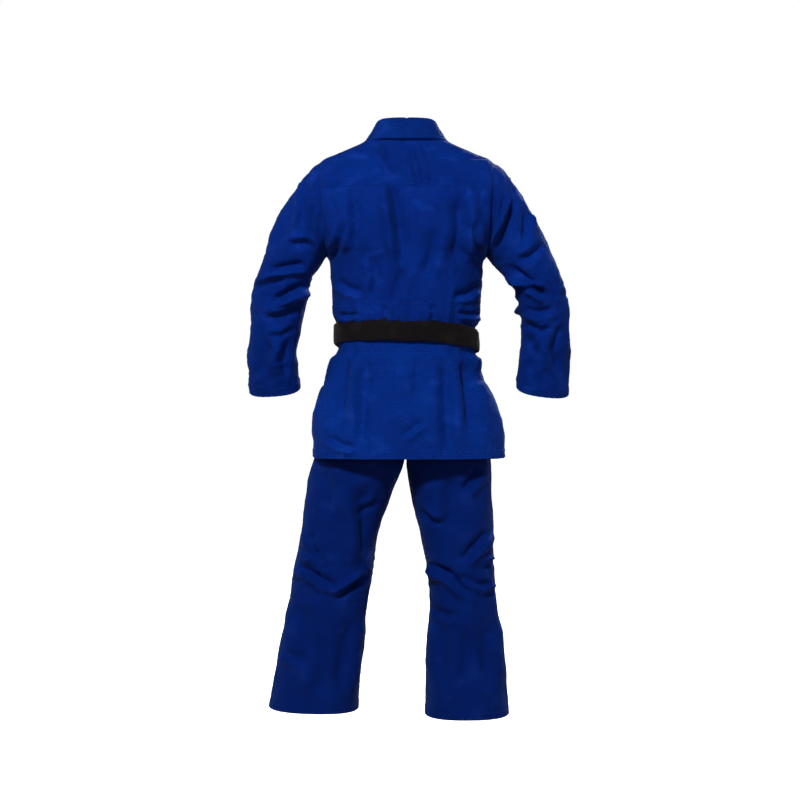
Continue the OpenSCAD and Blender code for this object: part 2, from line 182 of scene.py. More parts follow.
# ---------------------------------------------------------------- cloth
class Cloth:
    """A sheet on a grid of points: rows rise, columns run counterclockwise seen from above."""

    def __init__(self, grid, wrap=False):
        self.p = np.array(grid, float)
        self.wrap = wrap
        self.threads = []
        self.shading = None

    def normal(self):
        p = self.p
        across = np.roll(p, -1, 1) - np.roll(p, 1, 1) if self.wrap else np.gradient(p, axis=1)
        n = np.cross(across, np.gradient(p, axis=0))
        return n / np.maximum(np.linalg.norm(n, axis=2, keepdims=True), 1e-9)

    def lift(self, height):
        self.p += self.normal() * np.broadcast_to(height, self.p.shape[:2])[..., None]
        return self

    def lengths(self):
        """The lengths of the grid along its rows and along its columns."""
        p = np.concatenate([self.p, self.p[:, :1]], 1) if self.wrap else self.p
        across = np.linalg.norm(np.diff(p, axis=1), axis=2).sum(1)
        up = np.linalg.norm(np.diff(self.p, axis=0), axis=2).sum(0)
        return across, up

    def part(self, first, last):
        """The rows from first to last as a cloth of its own, shaded as the whole."""
        piece = Cloth(self.p[first:last], self.wrap)
        piece.shading = self.normal()[first:last]
        return piece

    def sew(self, row=None, column=None, span=(0, 1), stitch=3.6, space=1.6, width=0.8, sink=0.2):
        """Adds a line of stitches along a row or a column, each a fraction of the grid."""
        n = self.normal()
        if row is not None:
            i = int(round(row * (self.p.shape[0] - 1)))
            line, up = self.p[i], n[i]
            if self.wrap:
                line, up = np.vstack([line, line[:1]]), np.vstack([up, up[:1]])
        else:
            j = int(round(column * (self.p.shape[1] - 1)))
            line, up = self.p[:, j], n[:, j]
        self.sew_along(line, up, span, stitch, space, width, sink)
        return self

    def sew_along(self, line, up, span=(0, 1), stitch=3.6, space=1.6, width=0.8, sink=0.2):
        """Adds stitches along any line with normals: small spindles that sit in the cloth."""
        length = np.concatenate([[0], np.cumsum(np.linalg.norm(np.diff(line, axis=0), axis=1))])
        start, stop = span[0] * length[-1], span[1] * length[-1]
        at = np.arange(start + stitch / 2, stop - stitch / 2, stitch + space)
        if len(at) == 0:
            return self
        take = lambda values, s: np.stack([np.interp(s, length, values[:, k]) for k in range(3)], 1)
        c, n = take(line, at), take(up, at)
        t = take(line, at + 0.5) - take(line, at - 0.5)
        t /= np.linalg.norm(t, axis=1, keepdims=True)
        b = np.cross(n, t)
        c = c - n * sink
        ring = [c - t * stitch / 2, c - t * stitch * 0.3 + n * width * 0.5,
                c + t * stitch * 0.3 + n * width * 0.5, c + t * stitch / 2,
                c + b * width / 2 + n * 0.1, c - b * width / 2 + n * 0.1]
        self.threads.append(np.stack(ring, 1))
        return self


STITCH_FACES = [[0, 4, 1], [1, 4, 2], [2, 4, 3], [0, 1, 5], [1, 2, 5], [2, 3, 5], [0, 5, 4], [3, 4, 5]]


def shell(cloth, name, thick, material, thread, flat_ends=(False, False)):
    """A Blender mesh of a cloth: outer and inner face, rounded rims and its stitches."""
    p, n = cloth.p, cloth.normal()
    if cloth.shading is not None:
        n = cloth.shading
    rows, cols = p.shape[:2]
    inner = p - n * thick
    points, normals = [p.reshape(-1, 3), inner.reshape(-1, 3)], [n.reshape(-1, 3), -n.reshape(-1, 3)]
    closed = np.concatenate([p, p[:, :1]], 1) if cloth.wrap else p
    steps = np.linalg.norm(np.diff(closed, axis=1), axis=2)
    u = np.concatenate([np.zeros((rows, 1)), np.cumsum(steps, 1)], 1)
    u -= u[:, -1:] / 2
    v = np.concatenate([[0], np.cumsum(np.linalg.norm(np.diff(p, axis=0), axis=2).mean(1))])
    v = np.broadcast_to(v[:, None], u.shape)
    quads, places = [], []

    def add(corners, us, vs):
        quads.append(np.stack(corners, -1).reshape(-1, 4))
        places.append(np.stack([np.stack(us, -1), np.stack(vs, -1)], -1).reshape(-1, 4, 2))

    last = cols if cloth.wrap else cols - 1
    i, j = np.meshgrid(np.arange(rows - 1), np.arange(last), indexing="ij")
    k = (j + 1) % cols
    a, b, c, d = i * cols + j, i * cols + k, (i + 1) * cols + k, (i + 1) * cols + j
    us = [u[i, j], u[i, j + 1], u[i + 1, j + 1], u[i + 1, j]]
    vs = [v[i, j], v[i, j + 1], v[i + 1, j + 1], v[i + 1, j]]
    size = rows * cols
    add([a, b, c, d], us, vs)
    add([a + size, d + size, c + size, b + size], [us[0], us[3], us[2], us[1]], [vs[0], vs[3], vs[2], vs[1]])
    total = 2 * size

    def rim(line, before, u_line, v_line, flip, flat):
        """A strip from the outer edge over a rounded middle line to the inner edge."""
        nonlocal total
        outward = p.reshape(-1, 3)[line] - p.reshape(-1, 3)[before]
        outward /= np.maximum(np.linalg.norm(outward, axis=1, keepdims=True), 1e-9)
        middle = (points[0][line] + points[1][line]) / 2 + outward * (0 if flat else 0.45 * thick)
        points.append(middle)
        normals.append(outward)
        m = total + np.arange(len(line))
        total += len(line)
        ring = cloth.wrap and len(line) == cols
        if ring:
            line, m = np.append(line, line[0]), np.append(m, m[0])
        a0, a1, m0, m1 = line[:-1], line[1:], m[:-1], m[1:]
        u0, u1, v0, v1 = u_line[:-1], u_line[1:], v_line[:-1], v_line[1:]
        for first, second in [((a0, a1), (m0, m1)), ((m0, m1), (a0 + size, a1 + size))]:
            corners = [first[0], second[0], second[1], first[1]]
            if flip:
                corners = corners[::-1]
            us = [u0, u0, u1, u1] if not flip else [u1, u1, u0, u0]
            vs = [v0, v0, v1, v1] if not flip else [v1, v1, v0, v0]
            add(corners, us, vs)

    row_of = lambda i: i * cols + np.arange(cols)
    column_of = lambda j: np.arange(rows) * cols + j
    rim(row_of(0), row_of(1), u[0], v[0], False, flat_ends[0])
    rim(row_of(rows - 1), row_of(rows - 2), u[-1], v[-1], True, flat_ends[1])
    if not cloth.wrap:
        rim(column_of(0), column_of(1), u[:, 0], v[:, 0], True, False)
        rim(column_of(cols - 1), column_of(cols - 2), u[:, -1], v[:, -1], False, False)
    quads, places = np.concatenate(quads), np.concatenate(places)
    corners, starts = quads.reshape(-1), np.arange(len(quads)) * 4
    sizes, slots = np.full(len(quads), 4), np.zeros(len(quads), int)
    uv = places.reshape(-1, 2)
    for block in cloth.threads:
        count = len(block)
        points.append(block.reshape(-1, 3))
        middle = block.mean(1, keepdims=True)
        away = (block - middle).reshape(-1, 3)
        normals.append(away / np.linalg.norm(away, axis=1, keepdims=True))
        faces = (np.array(STITCH_FACES)[None] + (total + 6 * np.arange(count))[:, None, None]).reshape(-1, 3)
        total += 6 * count
        starts = np.append(starts, len(corners) + 3 * np.arange(len(faces)))
        corners = np.append(corners, faces.reshape(-1))
        sizes = np.append(sizes, np.full(len(faces), 3))
        slots = np.append(slots, np.ones(len(faces), int))
        along = np.tile([0, 0.3, 0.7, 1, 0.5, 0.5], count).reshape(-1) * 3.6
        uv = np.append(uv, np.stack([along[faces.reshape(-1) - (total - 6 * count)]] * 2, 1), 0)
    mesh = bpy.data.meshes.new(name)
    mesh.vertices.add(total)
    mesh.vertices.foreach_set("co", (np.concatenate(points) * MM).astype(np.float32).ravel())
    mesh.loops.add(len(corners))
    mesh.loops.foreach_set("vertex_index", corners.astype(np.int32))
    mesh.polygons.add(len(starts))
    mesh.polygons.foreach_set("loop_start", starts.astype(np.int32))
    mesh.polygons.foreach_set("loop_total", sizes.astype(np.int32))
    mesh.polygons.foreach_set("material_index", slots.astype(np.int32))
    mesh.polygons.foreach_set("use_smooth", np.ones(len(starts), bool))
    mesh.update(calc_edges=True)
    layer = mesh.uv_layers.new(name="weave")
    layer.data.foreach_set("uv", (uv * MM).astype(np.float32).ravel())
    mesh.materials.append(material)
    mesh.materials.append(thread)
    mesh.normals_split_custom_set_from_vertices(np.concatenate(normals))
    piece = bpy.data.objects.new(name, mesh)
    bpy.context.scene.collection.objects.link(piece)
    return piece


def make(cloth, name, thick, finish, body, nodes, ends=(False, False)):
    """A finished piece of cloth. body is one body's name, or (first body, second body, start, end)."""
    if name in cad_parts:
        name += "_cloth"
    piece = shell(cloth, name, thick, MATERIALS[finish], THREADS[finish], ends)
    if isinstance(body, str):
        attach(piece, body)
    else:
        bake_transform(piece)
    if nodes:
        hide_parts(*nodes)
    across, up = cloth.lengths()
    return piece


# ---------------------------------------------------------------- materials
class Shader:
    """A node tree in the making."""

    def __init__(self, name):
        self.material = bpy.data.materials.new(name)
        self.material.use_nodes = True
        self.tree = self.material.node_tree
        self.tree.nodes.clear()

    def node(self, kind, inputs=None, **settings):
        made = self.tree.nodes.new(kind)
        for key, value in settings.items():
            setattr(made, key, value)
        for key, value in (inputs or {}).items():
            self.set(made.inputs[key], value)
        return made

    def set(self, socket, value):
        if isinstance(value, bpy.types.NodeSocket):
            self.tree.links.new(value, socket)
        else:
            socket.default_value = value

    def math(self, operation, a, b=0.0, clamp=False):
        return self.node("ShaderNodeMath", {0: a, 1: b}, operation=operation, use_clamp=clamp).outputs[0]

    def noise(self, vector, scale, detail=2.0):
        made = self.node("ShaderNodeTexNoise", {"Vector": vector, "Scale": scale, "Detail": detail})
        return made.outputs["Fac"]

    def mix(self, factor, a, b):
        made = self.node("ShaderNodeMix", data_type="RGBA")
        self.set(made.inputs["Factor"], factor)
        self.set(made.inputs[6], a)
        self.set(made.inputs[7], b)
        return made.outputs[2]


def grain(s, u, v, wide, high):
    """Height of an offset pattern of small oval grains, as on a judo jacket."""
    row = s.math("DIVIDE", v, high)
    column = s.math("ADD", s.math("DIVIDE", u, wide), s.math("MULTIPLY", s.math("FLOOR", row), 0.5))
    across = s.math("SUBTRACT", s.math("FRACT", column), 0.5)
    up = s.math("SUBTRACT", s.math("FRACT", row), 0.5)
    reach = s.math("ADD", s.math("MULTIPLY", across, across), s.math("MULTIPLY", up, up))
    return s.math("SUBTRACT", 1.0, s.math("MULTIPLY", reach, 3.4), clamp=True)


def wave(s, value, pitch):
    """A sine from 0 to 1 with that pitch."""
    turn = s.math("SINE", s.math("MULTIPLY", value, 2 * math.pi / pitch))
    return s.math("ADD", s.math("MULTIPLY", turn, 0.5), 0.5)


def rice_weave(s, u, v):
    return grain(s, s.math("ADD", u, v), s.math("SUBTRACT", v, u), 0.0042, 0.0056)


def diamond_weave(s, u, v):
    """Fine horizontal ribs crossed by a small diamond."""
    rib = wave(s, v, 0.0055)
    left, right = wave(s, s.math("ADD", u, v), 0.0078), wave(s, s.math("SUBTRACT", u, v), 0.0078)
    cross = s.math("MULTIPLY", left, right)
    return s.math("ADD", s.math("MULTIPLY", rib, 0.55), s.math("MULTIPLY", cross, 0.45))


def drill_weave(s, u, v):
    """Fine diagonal twill."""
    return wave(s, s.math("ADD", u, s.math("MULTIPLY", v, 0.7)), 0.0013)


def plain_weave(s, u, v):
    return s.math("MULTIPLY", wave(s, u, 0.0016), wave(s, v, 0.0016))


def rib_weave(s, u, v):
    """Herringbone ribs of a woven belt."""
    slanted = s.math("ADD", v, s.math("MULTIPLY", u, 0.5))
    return s.math("MULTIPLY", wave(s, slanted, 0.0017), wave(s, u, 0.0021))


def cord_twist(s, u, v):
    return wave(s, s.math("ADD", u, v), 0.0032)


def cloth_material(name, light, dark, pattern, depth, roughness=0.9, sheen=0.07, speckle=0.5, contrast=0.55):
    """Dyed cotton: a weave in height and colour, uneven dye, worn lighter patches and loose fibres."""
    s = Shader(name)
    uv = s.node("ShaderNodeUVMap", uv_map="weave").outputs["UV"]
    parts = s.node("ShaderNodeSeparateXYZ", {"Vector": uv})
    u, v = parts.outputs["X"], parts.outputs["Y"]
    height = pattern(s, u, v)
    speck = s.noise(uv, 190.0, 3.0)
    patch = s.noise(uv, 7.0, 4.0)
    fibre = s.noise(uv, 1400.0, 2.0)
    tone = s.math("ADD", s.math("MULTIPLY", height, contrast), s.math("MULTIPLY", speck, speckle))
    tone = s.math("ADD", tone, s.math("MULTIPLY", s.math("SUBTRACT", patch, 0.5), 0.5))
    tone = s.math("SUBTRACT", tone, 0.12, clamp=True)
    colour = s.mix(tone, dark, light)
    worn = s.math("MULTIPLY", s.math("SUBTRACT", s.noise(uv, 16.0, 6.0), 0.55, clamp=True), 1.1)
    colour = s.mix(worn, colour, [min(1, 1.5 * c + 0.01) for c in light[:3]] + [1])
    relief = s.math("ADD", height, s.math("MULTIPLY", fibre, 0.35))
    bump = s.node("ShaderNodeBump", {"Height": relief, "Strength": 0.65, "Distance": depth})
    rough = s.math("ADD", s.math("MULTIPLY", speck, 0.16), roughness - 0.12, clamp=True)
    shader = s.node("ShaderNodeBsdfPrincipled", {
        "Base Color": colour, "Roughness": rough, "Normal": bump.outputs[0],
        "Specular IOR Level": 0.03, "Sheen Weight": sheen, "Sheen Roughness": 0.45,
        "Sheen Tint": (0.03, 0.22, 1.0, 1.0),
    })
    out = s.node("ShaderNodeOutputMaterial")
    s.tree.links.new(shader.outputs[0], out.inputs["Surface"])
    return s.material


def thread_material(name, light, dark):
    """Sewing thread: a twisted strand."""
    s = Shader(name)
    uv = s.node("ShaderNodeUVMap", uv_map="weave").outputs["UV"]
    parts = s.node("ShaderNodeSeparateXYZ", {"Vector": uv})
    strand = wave(s, parts.outputs["X"], 0.0006)
    colour = s.mix(strand, dark, light)
    bump = s.node("ShaderNodeBump", {"Height": strand, "Strength": 0.5, "Distance": 0.0002})
    shader = s.node("ShaderNodeBsdfPrincipled", {
        "Base Color": colour, "Roughness": 0.6, "Normal": bump.outputs[0], "Specular IOR Level": 0.12,
    })
    out = s.node("ShaderNodeOutputMaterial")
    s.tree.links.new(shader.outputs[0], out.inputs["Surface"])
    return s.material


BLUE_THREAD = thread_material("blue_thread", (0.006, 0.075, 0.40, 1), (0.001, 0.02, 0.15, 1))
DARK_THREAD = thread_material("dark_thread", (0.02, 0.017, 0.02, 1), (0.004, 0.0035, 0.004, 1))
WHITE_THREAD = thread_material("white_thread", (0.8, 0.8, 0.78, 1), (0.5, 0.5, 0.48, 1))
MATERIALS = {
    "jacket_weave": cloth_material("jacket_weave", (0.0012, 0.037, 0.33, 1), (0.0002, 0.006, 0.075, 1),
                                   rice_weave, 0.0009, contrast=0.3),
    "skirt_cotton": cloth_material("skirt_cotton", (0.0012, 0.040, 0.32, 1), (0.0002, 0.008, 0.090, 1),
                                   diamond_weave, 0.0007, contrast=0.34),
    "collar_cotton": cloth_material("collar_cotton", (0.0012, 0.036, 0.28, 1), (0.0002, 0.008, 0.085, 1),
                                    plain_weave, 0.0003, speckle=0.5, contrast=0.5),
    "trouser_drill": cloth_material("trouser_drill", (0.0006, 0.020, 0.19, 1), (0.0001, 0.006, 0.07, 1),
                                    drill_weave, 0.0003, sheen=0.07, speckle=0.3, contrast=0.5),
    "belt_cotton": cloth_material("belt_cotton", (0.012, 0.009, 0.011, 1), (0.002, 0.0015, 0.002, 1),
                                  rib_weave, 0.0004, roughness=0.8, sheen=0.04, speckle=0.4),
    "drawstring_cord": cloth_material("drawstring_cord", (0.82, 0.81, 0.77, 1), (0.5, 0.49, 0.46, 1),
                                      cord_twist, 0.0005, sheen=0.1, speckle=0.3),
}
SHEEN_TINTS = {"belt_cotton": (1, 0.9, 0.9, 1), "drawstring_cord": (1, 1, 1, 1)}
for finish_name, tint in SHEEN_TINTS.items():
    surface = MATERIALS[finish_name].node_tree.nodes["Principled BSDF"]
    surface.inputs["Sheen Tint"].default_value = tint
THREADS = {name: BLUE_THREAD for name in MATERIALS}
THREADS["belt_cotton"] = DARK_THREAD
THREADS["drawstring_cord"] = WHITE_THREAD


# ---------------------------------------------------------------- jacket body
ARMPIT_Z, SHOULDER_Z, NECK_Z = 190, 417, 476
LAPEL_W = 46
JACKET_T = 3
ARMHOLE_DEPTH = 104
SECTION = 2.4           # exponent of the rounded sections
PANEL_LOW_Z = -26       # the body panels end under the belt
UNDER = 7               # the right front lies this far under the left one

JACKET_SIDE = [[-64, 169], [5, 170], [20, 176], [40, 182], [75, 185], [120, 188], [165, 190], [190, 199],
               [300, 207], [417, 213], [440, 166], [465, 111], [480, 90]]
JACKET_DEPTH = {
    BACK: [[-64, 116], [-2, 117], [12, 127], [32, 132], [62, 130], [100, 132], [150, 136], [250, 141],
           [330, 134], [390, 106], [417, 86], [440, 74], [465, 64], [480, 58]],
    FRONT: [[-64, 115], [-2, 117], [14, 127], [34, 131], [62, 129], [110, 132], [180, 139], [250, 142],
            [330, 131], [390, 100], [417, 80], [440, 63], [465, 48], [480, 40]],
}
# How far right of the middle the left front's edge runs
FRONT_EDGE = [[-64, 104], [20, 92], [120, 54], [215, 4], [330, -50], [417, -70], [480, -76]]

BACK_FOLDS = [
    [[(66, 462), (48, 410), (28, 362)], 7, 6.0, 0.8],
    [[(-10, 458), (-24, 400), (-36, 325)], 8, 6.5, -0.7],
    [[(38, 372), (22, 270), (4, 140)], 15, 8, 0.8],
    [[(8, 150), (20, 100), (34, 52)], 13, 4, -0.6],
    [[(-126, 330), (-132, 240), (-120, 150)], 17, 8, -0.9],
    [[(128, 340), (120, 250), (130, 170)], 16, 5, 0.7],
    [[(-70, 250), (-62, 180), (-40, 110)], 14, 3.5, -0.5],
    [[(84, 180), (72, 120), (90, 60)], 12, 3.5, 0.6],
    [[(176, 120), (140, 96), (96, 84)], 9, 4, 0.7],
    [[(-182, 110), (-150, 84), (-110, 76)], 9, 4.5, -0.7],
    [[(188, 168), (160, 214), (150, 260)], 10, 4.5, -0.6],
    [[(-188, 160), (-166, 205), (-160, 262)], 10, 5, 0.6],
    [[(196, 330), (160, 352), (120, 360)], 10, 3, 0.5],
    [[(-190, 322), (-152, 350), (-110, 352)], 10, 3.5, -0.5],
    [[(-182, 40), (-156, 34), (-120, 38)], 6, 4, -0.8],
    [[(170, 36), (140, 30), (112, 36)], 6, 3, 0.8],
    [[(-60, 60), (-66, 36), (-62, 8)], 8, 3.0, 0.6],
    [[(48, 58), (54, 34), (52, 8)], 8, 3.0, -0.6],
]
FRONT_FOLDS = [
    [[(150, 330), (120, 250), (60, 190)], 13, 6, 0.7],
    [[(170, 210), (130, 150), (70, 110)], 12, 6, 0.7],
    [[(180, 110), (140, 84), (84, 60)], 10, 5, 0.8],
    [[(90, 90), (70, 50), (64, 10)], 9, 4.5, -0.6],
    [[(-150, 340), (-112, 270), (-84, 200)], 13, 6, -0.7],
    [[(-176, 200), (-150, 130), (-140, 70)], 12, 6, 0.7],
    [[(-182, 90), (-160, 60), (-132, 20)], 9, 5, 0.7],
    [[(188, 168), (164, 214), (156, 262)], 10, 5, -0.6],
    [[(-188, 164), (-166, 210), (-158, 264)], 10, 5, 0.6],
    [[(150, 60), (146, 34), (140, 6)], 8, 3.5, 0.6],
]


def rounded(value, exponent=SECTION):
    return np.sign(value) * np.abs(value) ** (2 / exponent)


def armhole(z):
    half = (SHOULDER_Z - ARMPIT_Z) / 2
    v = np.clip(np.abs(z - ARMPIT_Z - half) / half, 0, 1)
    return ARMHOLE_DEPTH * (1 - v**SECTION) ** (1 / SECTION)


def climb(low, high, rows, steep=405, extra=2.4):
    """Heights from low to high, closer together above steep, where the cloth turns over the shoulder."""
    z = np.linspace(low, high, 400)
    weight = np.concatenate([[0], np.cumsum(np.diff(z) * (1 + extra * smooth((z[1:] - steep) / 15)))])
    return np.interp(np.linspace(0, weight[-1], rows), weight, z)


def jacket_point(face, a, z):
    """A point of the jacket body at angle a from the middle line, in degrees towards +X."""
    half, deep, hole = curve(JACKET_SIDE, z), curve(JACKET_DEPTH[face], z), armhole(z)
    x = half * rounded(np.sin(np.radians(a)))
    y = hole + (deep - hole) * rounded(np.abs(np.cos(np.radians(a))))
    return np.stack([x, face * y, z], -1)


def jacket_angle(x, z):
    """The angle of jacket_point that gives x at height z."""
    share = np.clip(np.abs(x) / curve(JACKET_SIDE, z), 0, 1)
    return np.sign(x) * np.degrees(np.arcsin(share ** (SECTION / 2)))


def jacket_relief(face, p):
    """Height of folds and rumples on the jacket body."""
    x, z = p[..., 0], p[..., 2]
    strokes = BACK_FOLDS if face == BACK else FRONT_FOLDS
    calm = smooth((NECK_Z - z) / 30) * smooth((z - PANEL_LOW_Z) / 30)
    inset = curve(JACKET_SIDE, z) - np.abs(x)
    edge = 1 - (1 - smooth(inset / 22)) * smooth((z - ARMPIT_Z + 12) / 12)
    rumple = crinkle(x / 46 + 3 * face, z / 88)
    blouse = smooth((z - 0) / 14) * smooth((78 - z) / 40)
    gathers = blouse * (1.6 * np.sin(x / 7.5 + 1.5 * np.sin(x / 23)) + 1.2 * crinkle(x / 15, z / 40))
    small = calm * (3.2 * rumple + 1.1 * crinkle(x / 17, z / 30 + 5))
    # The folds of the back are deeper than those of the front
    depth = 1.35 if face == BACK else 1.0
    return edge * (depth * folds(x, z, strokes) + small) + gathers


def jacket_cloth(face, angles, heights, lift=0.0, sink=0.0):
    """Cloth of the jacket body. angles holds one row of angles for each height."""
    z = np.broadcast_to(heights[:, None], angles.shape)
    p = jacket_point(face, angles, z)
    p[..., 1] -= face * sink * smooth((np.abs(p[..., 1]) - 4) / 30)
    cloth = Cloth(p)
    return cloth.lift(jacket_relief(face, p) + lift)


def even(first, last, columns):
    """Rows of evenly spaced values between two edges, each given by height."""
    t = np.linspace(0, 1, columns)
    return first[:, None] * (1 - t) + last[:, None] * t


def groove(cloth, coordinate, at, width, depth):
    """Presses a straight line into the cloth where the coordinate has that value."""
    return cloth.lift(-depth * np.exp(-(((coordinate - at) / width) ** 2)))


def jacket_back():
    z = climb(PANEL_LOW_Z, NECK_Z, 130)
    cloth = jacket_cloth(BACK, even(np.full(130, 90.0), np.full(130, -90.0), 116), z)
    seam_z = 60 + 6 * np.cos(cloth.p[..., 0] / 120)
    groove(cloth, cloth.p[..., 2] - seam_z, 0, 2.6, 1.8)
    return make(cloth, "jacket_back", JACKET_T, "jacket_weave", "jacket", ["upper_back"])


def jacket_front(side):
    z = climb(PANEL_LOW_Z, NECK_Z, 130)
    edge = -curve(FRONT_EDGE, z) + 12
    edge = np.minimum(edge, curve(JACKET_SIDE, z) - 6)
    inner, outer = side * jacket_angle(edge, z), np.full(130, 90.0 * side)
    first, last = (inner, outer) if side == LEFT else (outer, inner)
    cloth = jacket_cloth(FRONT, even(first, last, 84), z, sink=0 if side == LEFT else UNDER)
    name = SIDE_NAME[side] + "_front"
    return make(cloth, "jacket_" + name, JACKET_T, "jacket_weave", "jacket", [name])


def waist_strip():
    """The strip inside the belt line at the back: hatched with stitches up to the waist seam."""
    rows, columns = 26, 200
    angles = even(np.full(rows, 84.0), np.full(rows, -84.0), columns)
    top = 60 + 6 * np.cos(np.linspace(-1.4, 1.4, columns))
    z = mix(2.0, top[None, :], np.linspace(0, 1, rows)[:, None])
    p = jacket_point(BACK, angles, z)
    cloth = Cloth(p).lift(jacket_relief(BACK, p) + 0.9)
    cloth.sew(row=0.95).sew(row=0.88)
    for k in range(46):
        cloth.sew(column=(k + 0.5) / 46, span=(0.08, 0.82), width=0.7)
    return make(cloth, "waist_strip", 1.6, "jacket_weave", "jacket", ["waist_band"])


def shoulder_yoke():
    rows = 50
    z = climb(344, NECK_Z - 8, rows)
    cloth = jacket_cloth(BACK, even(np.full(rows, 89.0), np.full(rows, -89.0), 116), z)
    sides = smooth((1 - np.abs(np.linspace(-1, 1, 116))) / 0.16)[None]
    cloth.lift(1.7 * sides - 0.9)
    cloth.sew(row=0.03).sew(row=0.09)
    return make(cloth, "shoulder_yoke", 1.2, "jacket_weave", "jacket",
                ["left_shoulder_patch", "right_shoulder_patch"])


def shoulder_patch_front(side):
    rows = 50
    z = climb(286, SHOULDER_Z + 34, rows)
    edge = np.minimum(-curve(FRONT_EDGE, z) + LAPEL_W - 6, curve(JACKET_SIDE, z) - 16)
    inner, outer = side * jacket_angle(edge, z), np.full(rows, 86.0 * side)
    first, last = (inner, outer) if side == LEFT else (outer, inner)
    cloth = jacket_cloth(FRONT, even(first, last, 50), z, lift=2.0, sink=0 if side == LEFT else UNDER)
    cloth.sew(row=0.03).sew(row=0.08)
    name = SIDE_NAME[side] + "_shoulder_patch"
    return make(cloth, name + "_front", 1.8, "jacket_weave", "jacket", [name])


def lapel_lines(side):
    """The seam and the free edge of the collar band on one side, from the belt to the middle of the back."""
    seam, free = [], []
    for z in (-26, 30, 90, 150, 215, 275, 335, 385):
        edge = -float(curve(FRONT_EDGE, z))
        lift = (1.5 if side == LEFT else 1.0 - UNDER)
        stand = 0 if z < 200 else 0.02 * (z - 200)
        for x, line, out in ((edge + LAPEL_W, seam, 0), (edge, free, stand)):
            p = jacket_point(FRONT, float(jacket_angle(side * x, z)), float(z))
            line.append((p[0], p[1] - lift - out, z))
    seam += [(side * 116, -62, 418), (side * 112, -36, 446), (side * 106, -6, 464), (side * 99, 26, 468),
             (side * 76, 56, 468), (side * 42, 70, 468), (0, 75, 467)]
    free += [(side * 68, -84, 424), (side * 74, -58, 464), (side * 77, -24, 496), (side * 74, 14, 513),
             (side * 62, 42, 520), (side * 36, 57, 521), (0, 61, 521)]
    return np.array(seam, float), np.array(free, float)


def collar():
    """One band from the left front's edge round the neck to the right front's, quilted in rows."""
    left_seam, left_free = lapel_lines(LEFT)
    right_seam, right_free = lapel_lines(RIGHT)
    columns, rows = 360, 30
    seam = route(np.vstack([left_seam, right_seam[-2::-1]]), columns)
    free = route(np.vstack([left_free, right_free[-2::-1]]), columns)
    t = np.linspace(0, 1, rows)[:, None, None]
    bulge = np.sin(np.pi * t[..., 0]) ** 0.6
    cloth = Cloth(mix(seam[None], free[None], t))
    ridges = 1.7 * np.abs(np.sin(np.pi * 7 * t[..., 0])) ** 0.6
    along = np.linspace(0, 1, columns)[None]
    soft = 1.2 * crinkle(along * 24, t[..., 0] * 1.2) + 0.8 * noise(along * 60, t[..., 0] * 2)
    cloth.lift(1.6 * bulge + 1.1 * ridges + soft * bulge)
    middle = columns // 2
    cloth.lift(-1.8 * np.exp(-(((np.arange(columns) - middle) / 0.9) ** 2))[None] + 0 * t[..., 0])
    for k in range(1, 7):
        cloth.sew(row=k / 7, stitch=4.2, width=0.9)
    cloth.sew(row=0.035).sew(row=0.965)
    for shift in (-2, 2):
        cloth.sew(column=(middle + shift) / (columns - 1), width=0.9)
    return make(cloth, "collar", 5, "collar_cotton", "jacket",
                ["collar_back", "left_lapel", "right_lapel"])


# ---------------------------------------------------------------- sleeves
# Stations from cuff to shoulder: inner x and z, outer x and z, middle y, half depth, lean in degrees
LEFT_ARM = [
    [270, -143, 398, -152, -72, 58, 18], [277, -70, 400, -72, -45, 58, 18], [266, 5, 392, 5, -18, 61, 10],
    [251, 72, 385, 88, -5, 66, 0], [238, 130, 366, 150, 0, 74, 0], [222, 152, 338, 225, 0, 86, 0],
    [208, 176, 281, 340, 0, 96, 0], [202, 188, 237, 399, 0, 102, 0], [200, 190, 213, 417, 0, 104, 0],
]
RIGHT_ARM = [
    [-281, -142, -412, -157, -72, 58, 18], [-286, -70, -413, -72, -45, 58, 18],
    [-290, 5, -409, 5, -18, 61, 10],
    [-277, 72, -401, 86, -5, 66, 0], [-256, 126, -379, 150, 0, 74, 0], [-232, 150, -344, 225, 0, 86, 0],
    [-211, 174, -284, 335, 0, 96, 0], [-203, 187, -238, 399, 0, 102, 0], [-200, 190, -213, 417, 0, 104, 0],
]
ARMS = {LEFT: LEFT_ARM, RIGHT: RIGHT_ARM}
ARM_SPLIT, ARM_TOP = 3.9, 8.0
SHOULDER_TURN = (1.0, -0.12)    # direction across which a sleeve bends at the shoulder, x and z
SHOULDER_BEND = (176, 221)      # where the bend starts and ends along that direction
ARM_SEAM_X = 262

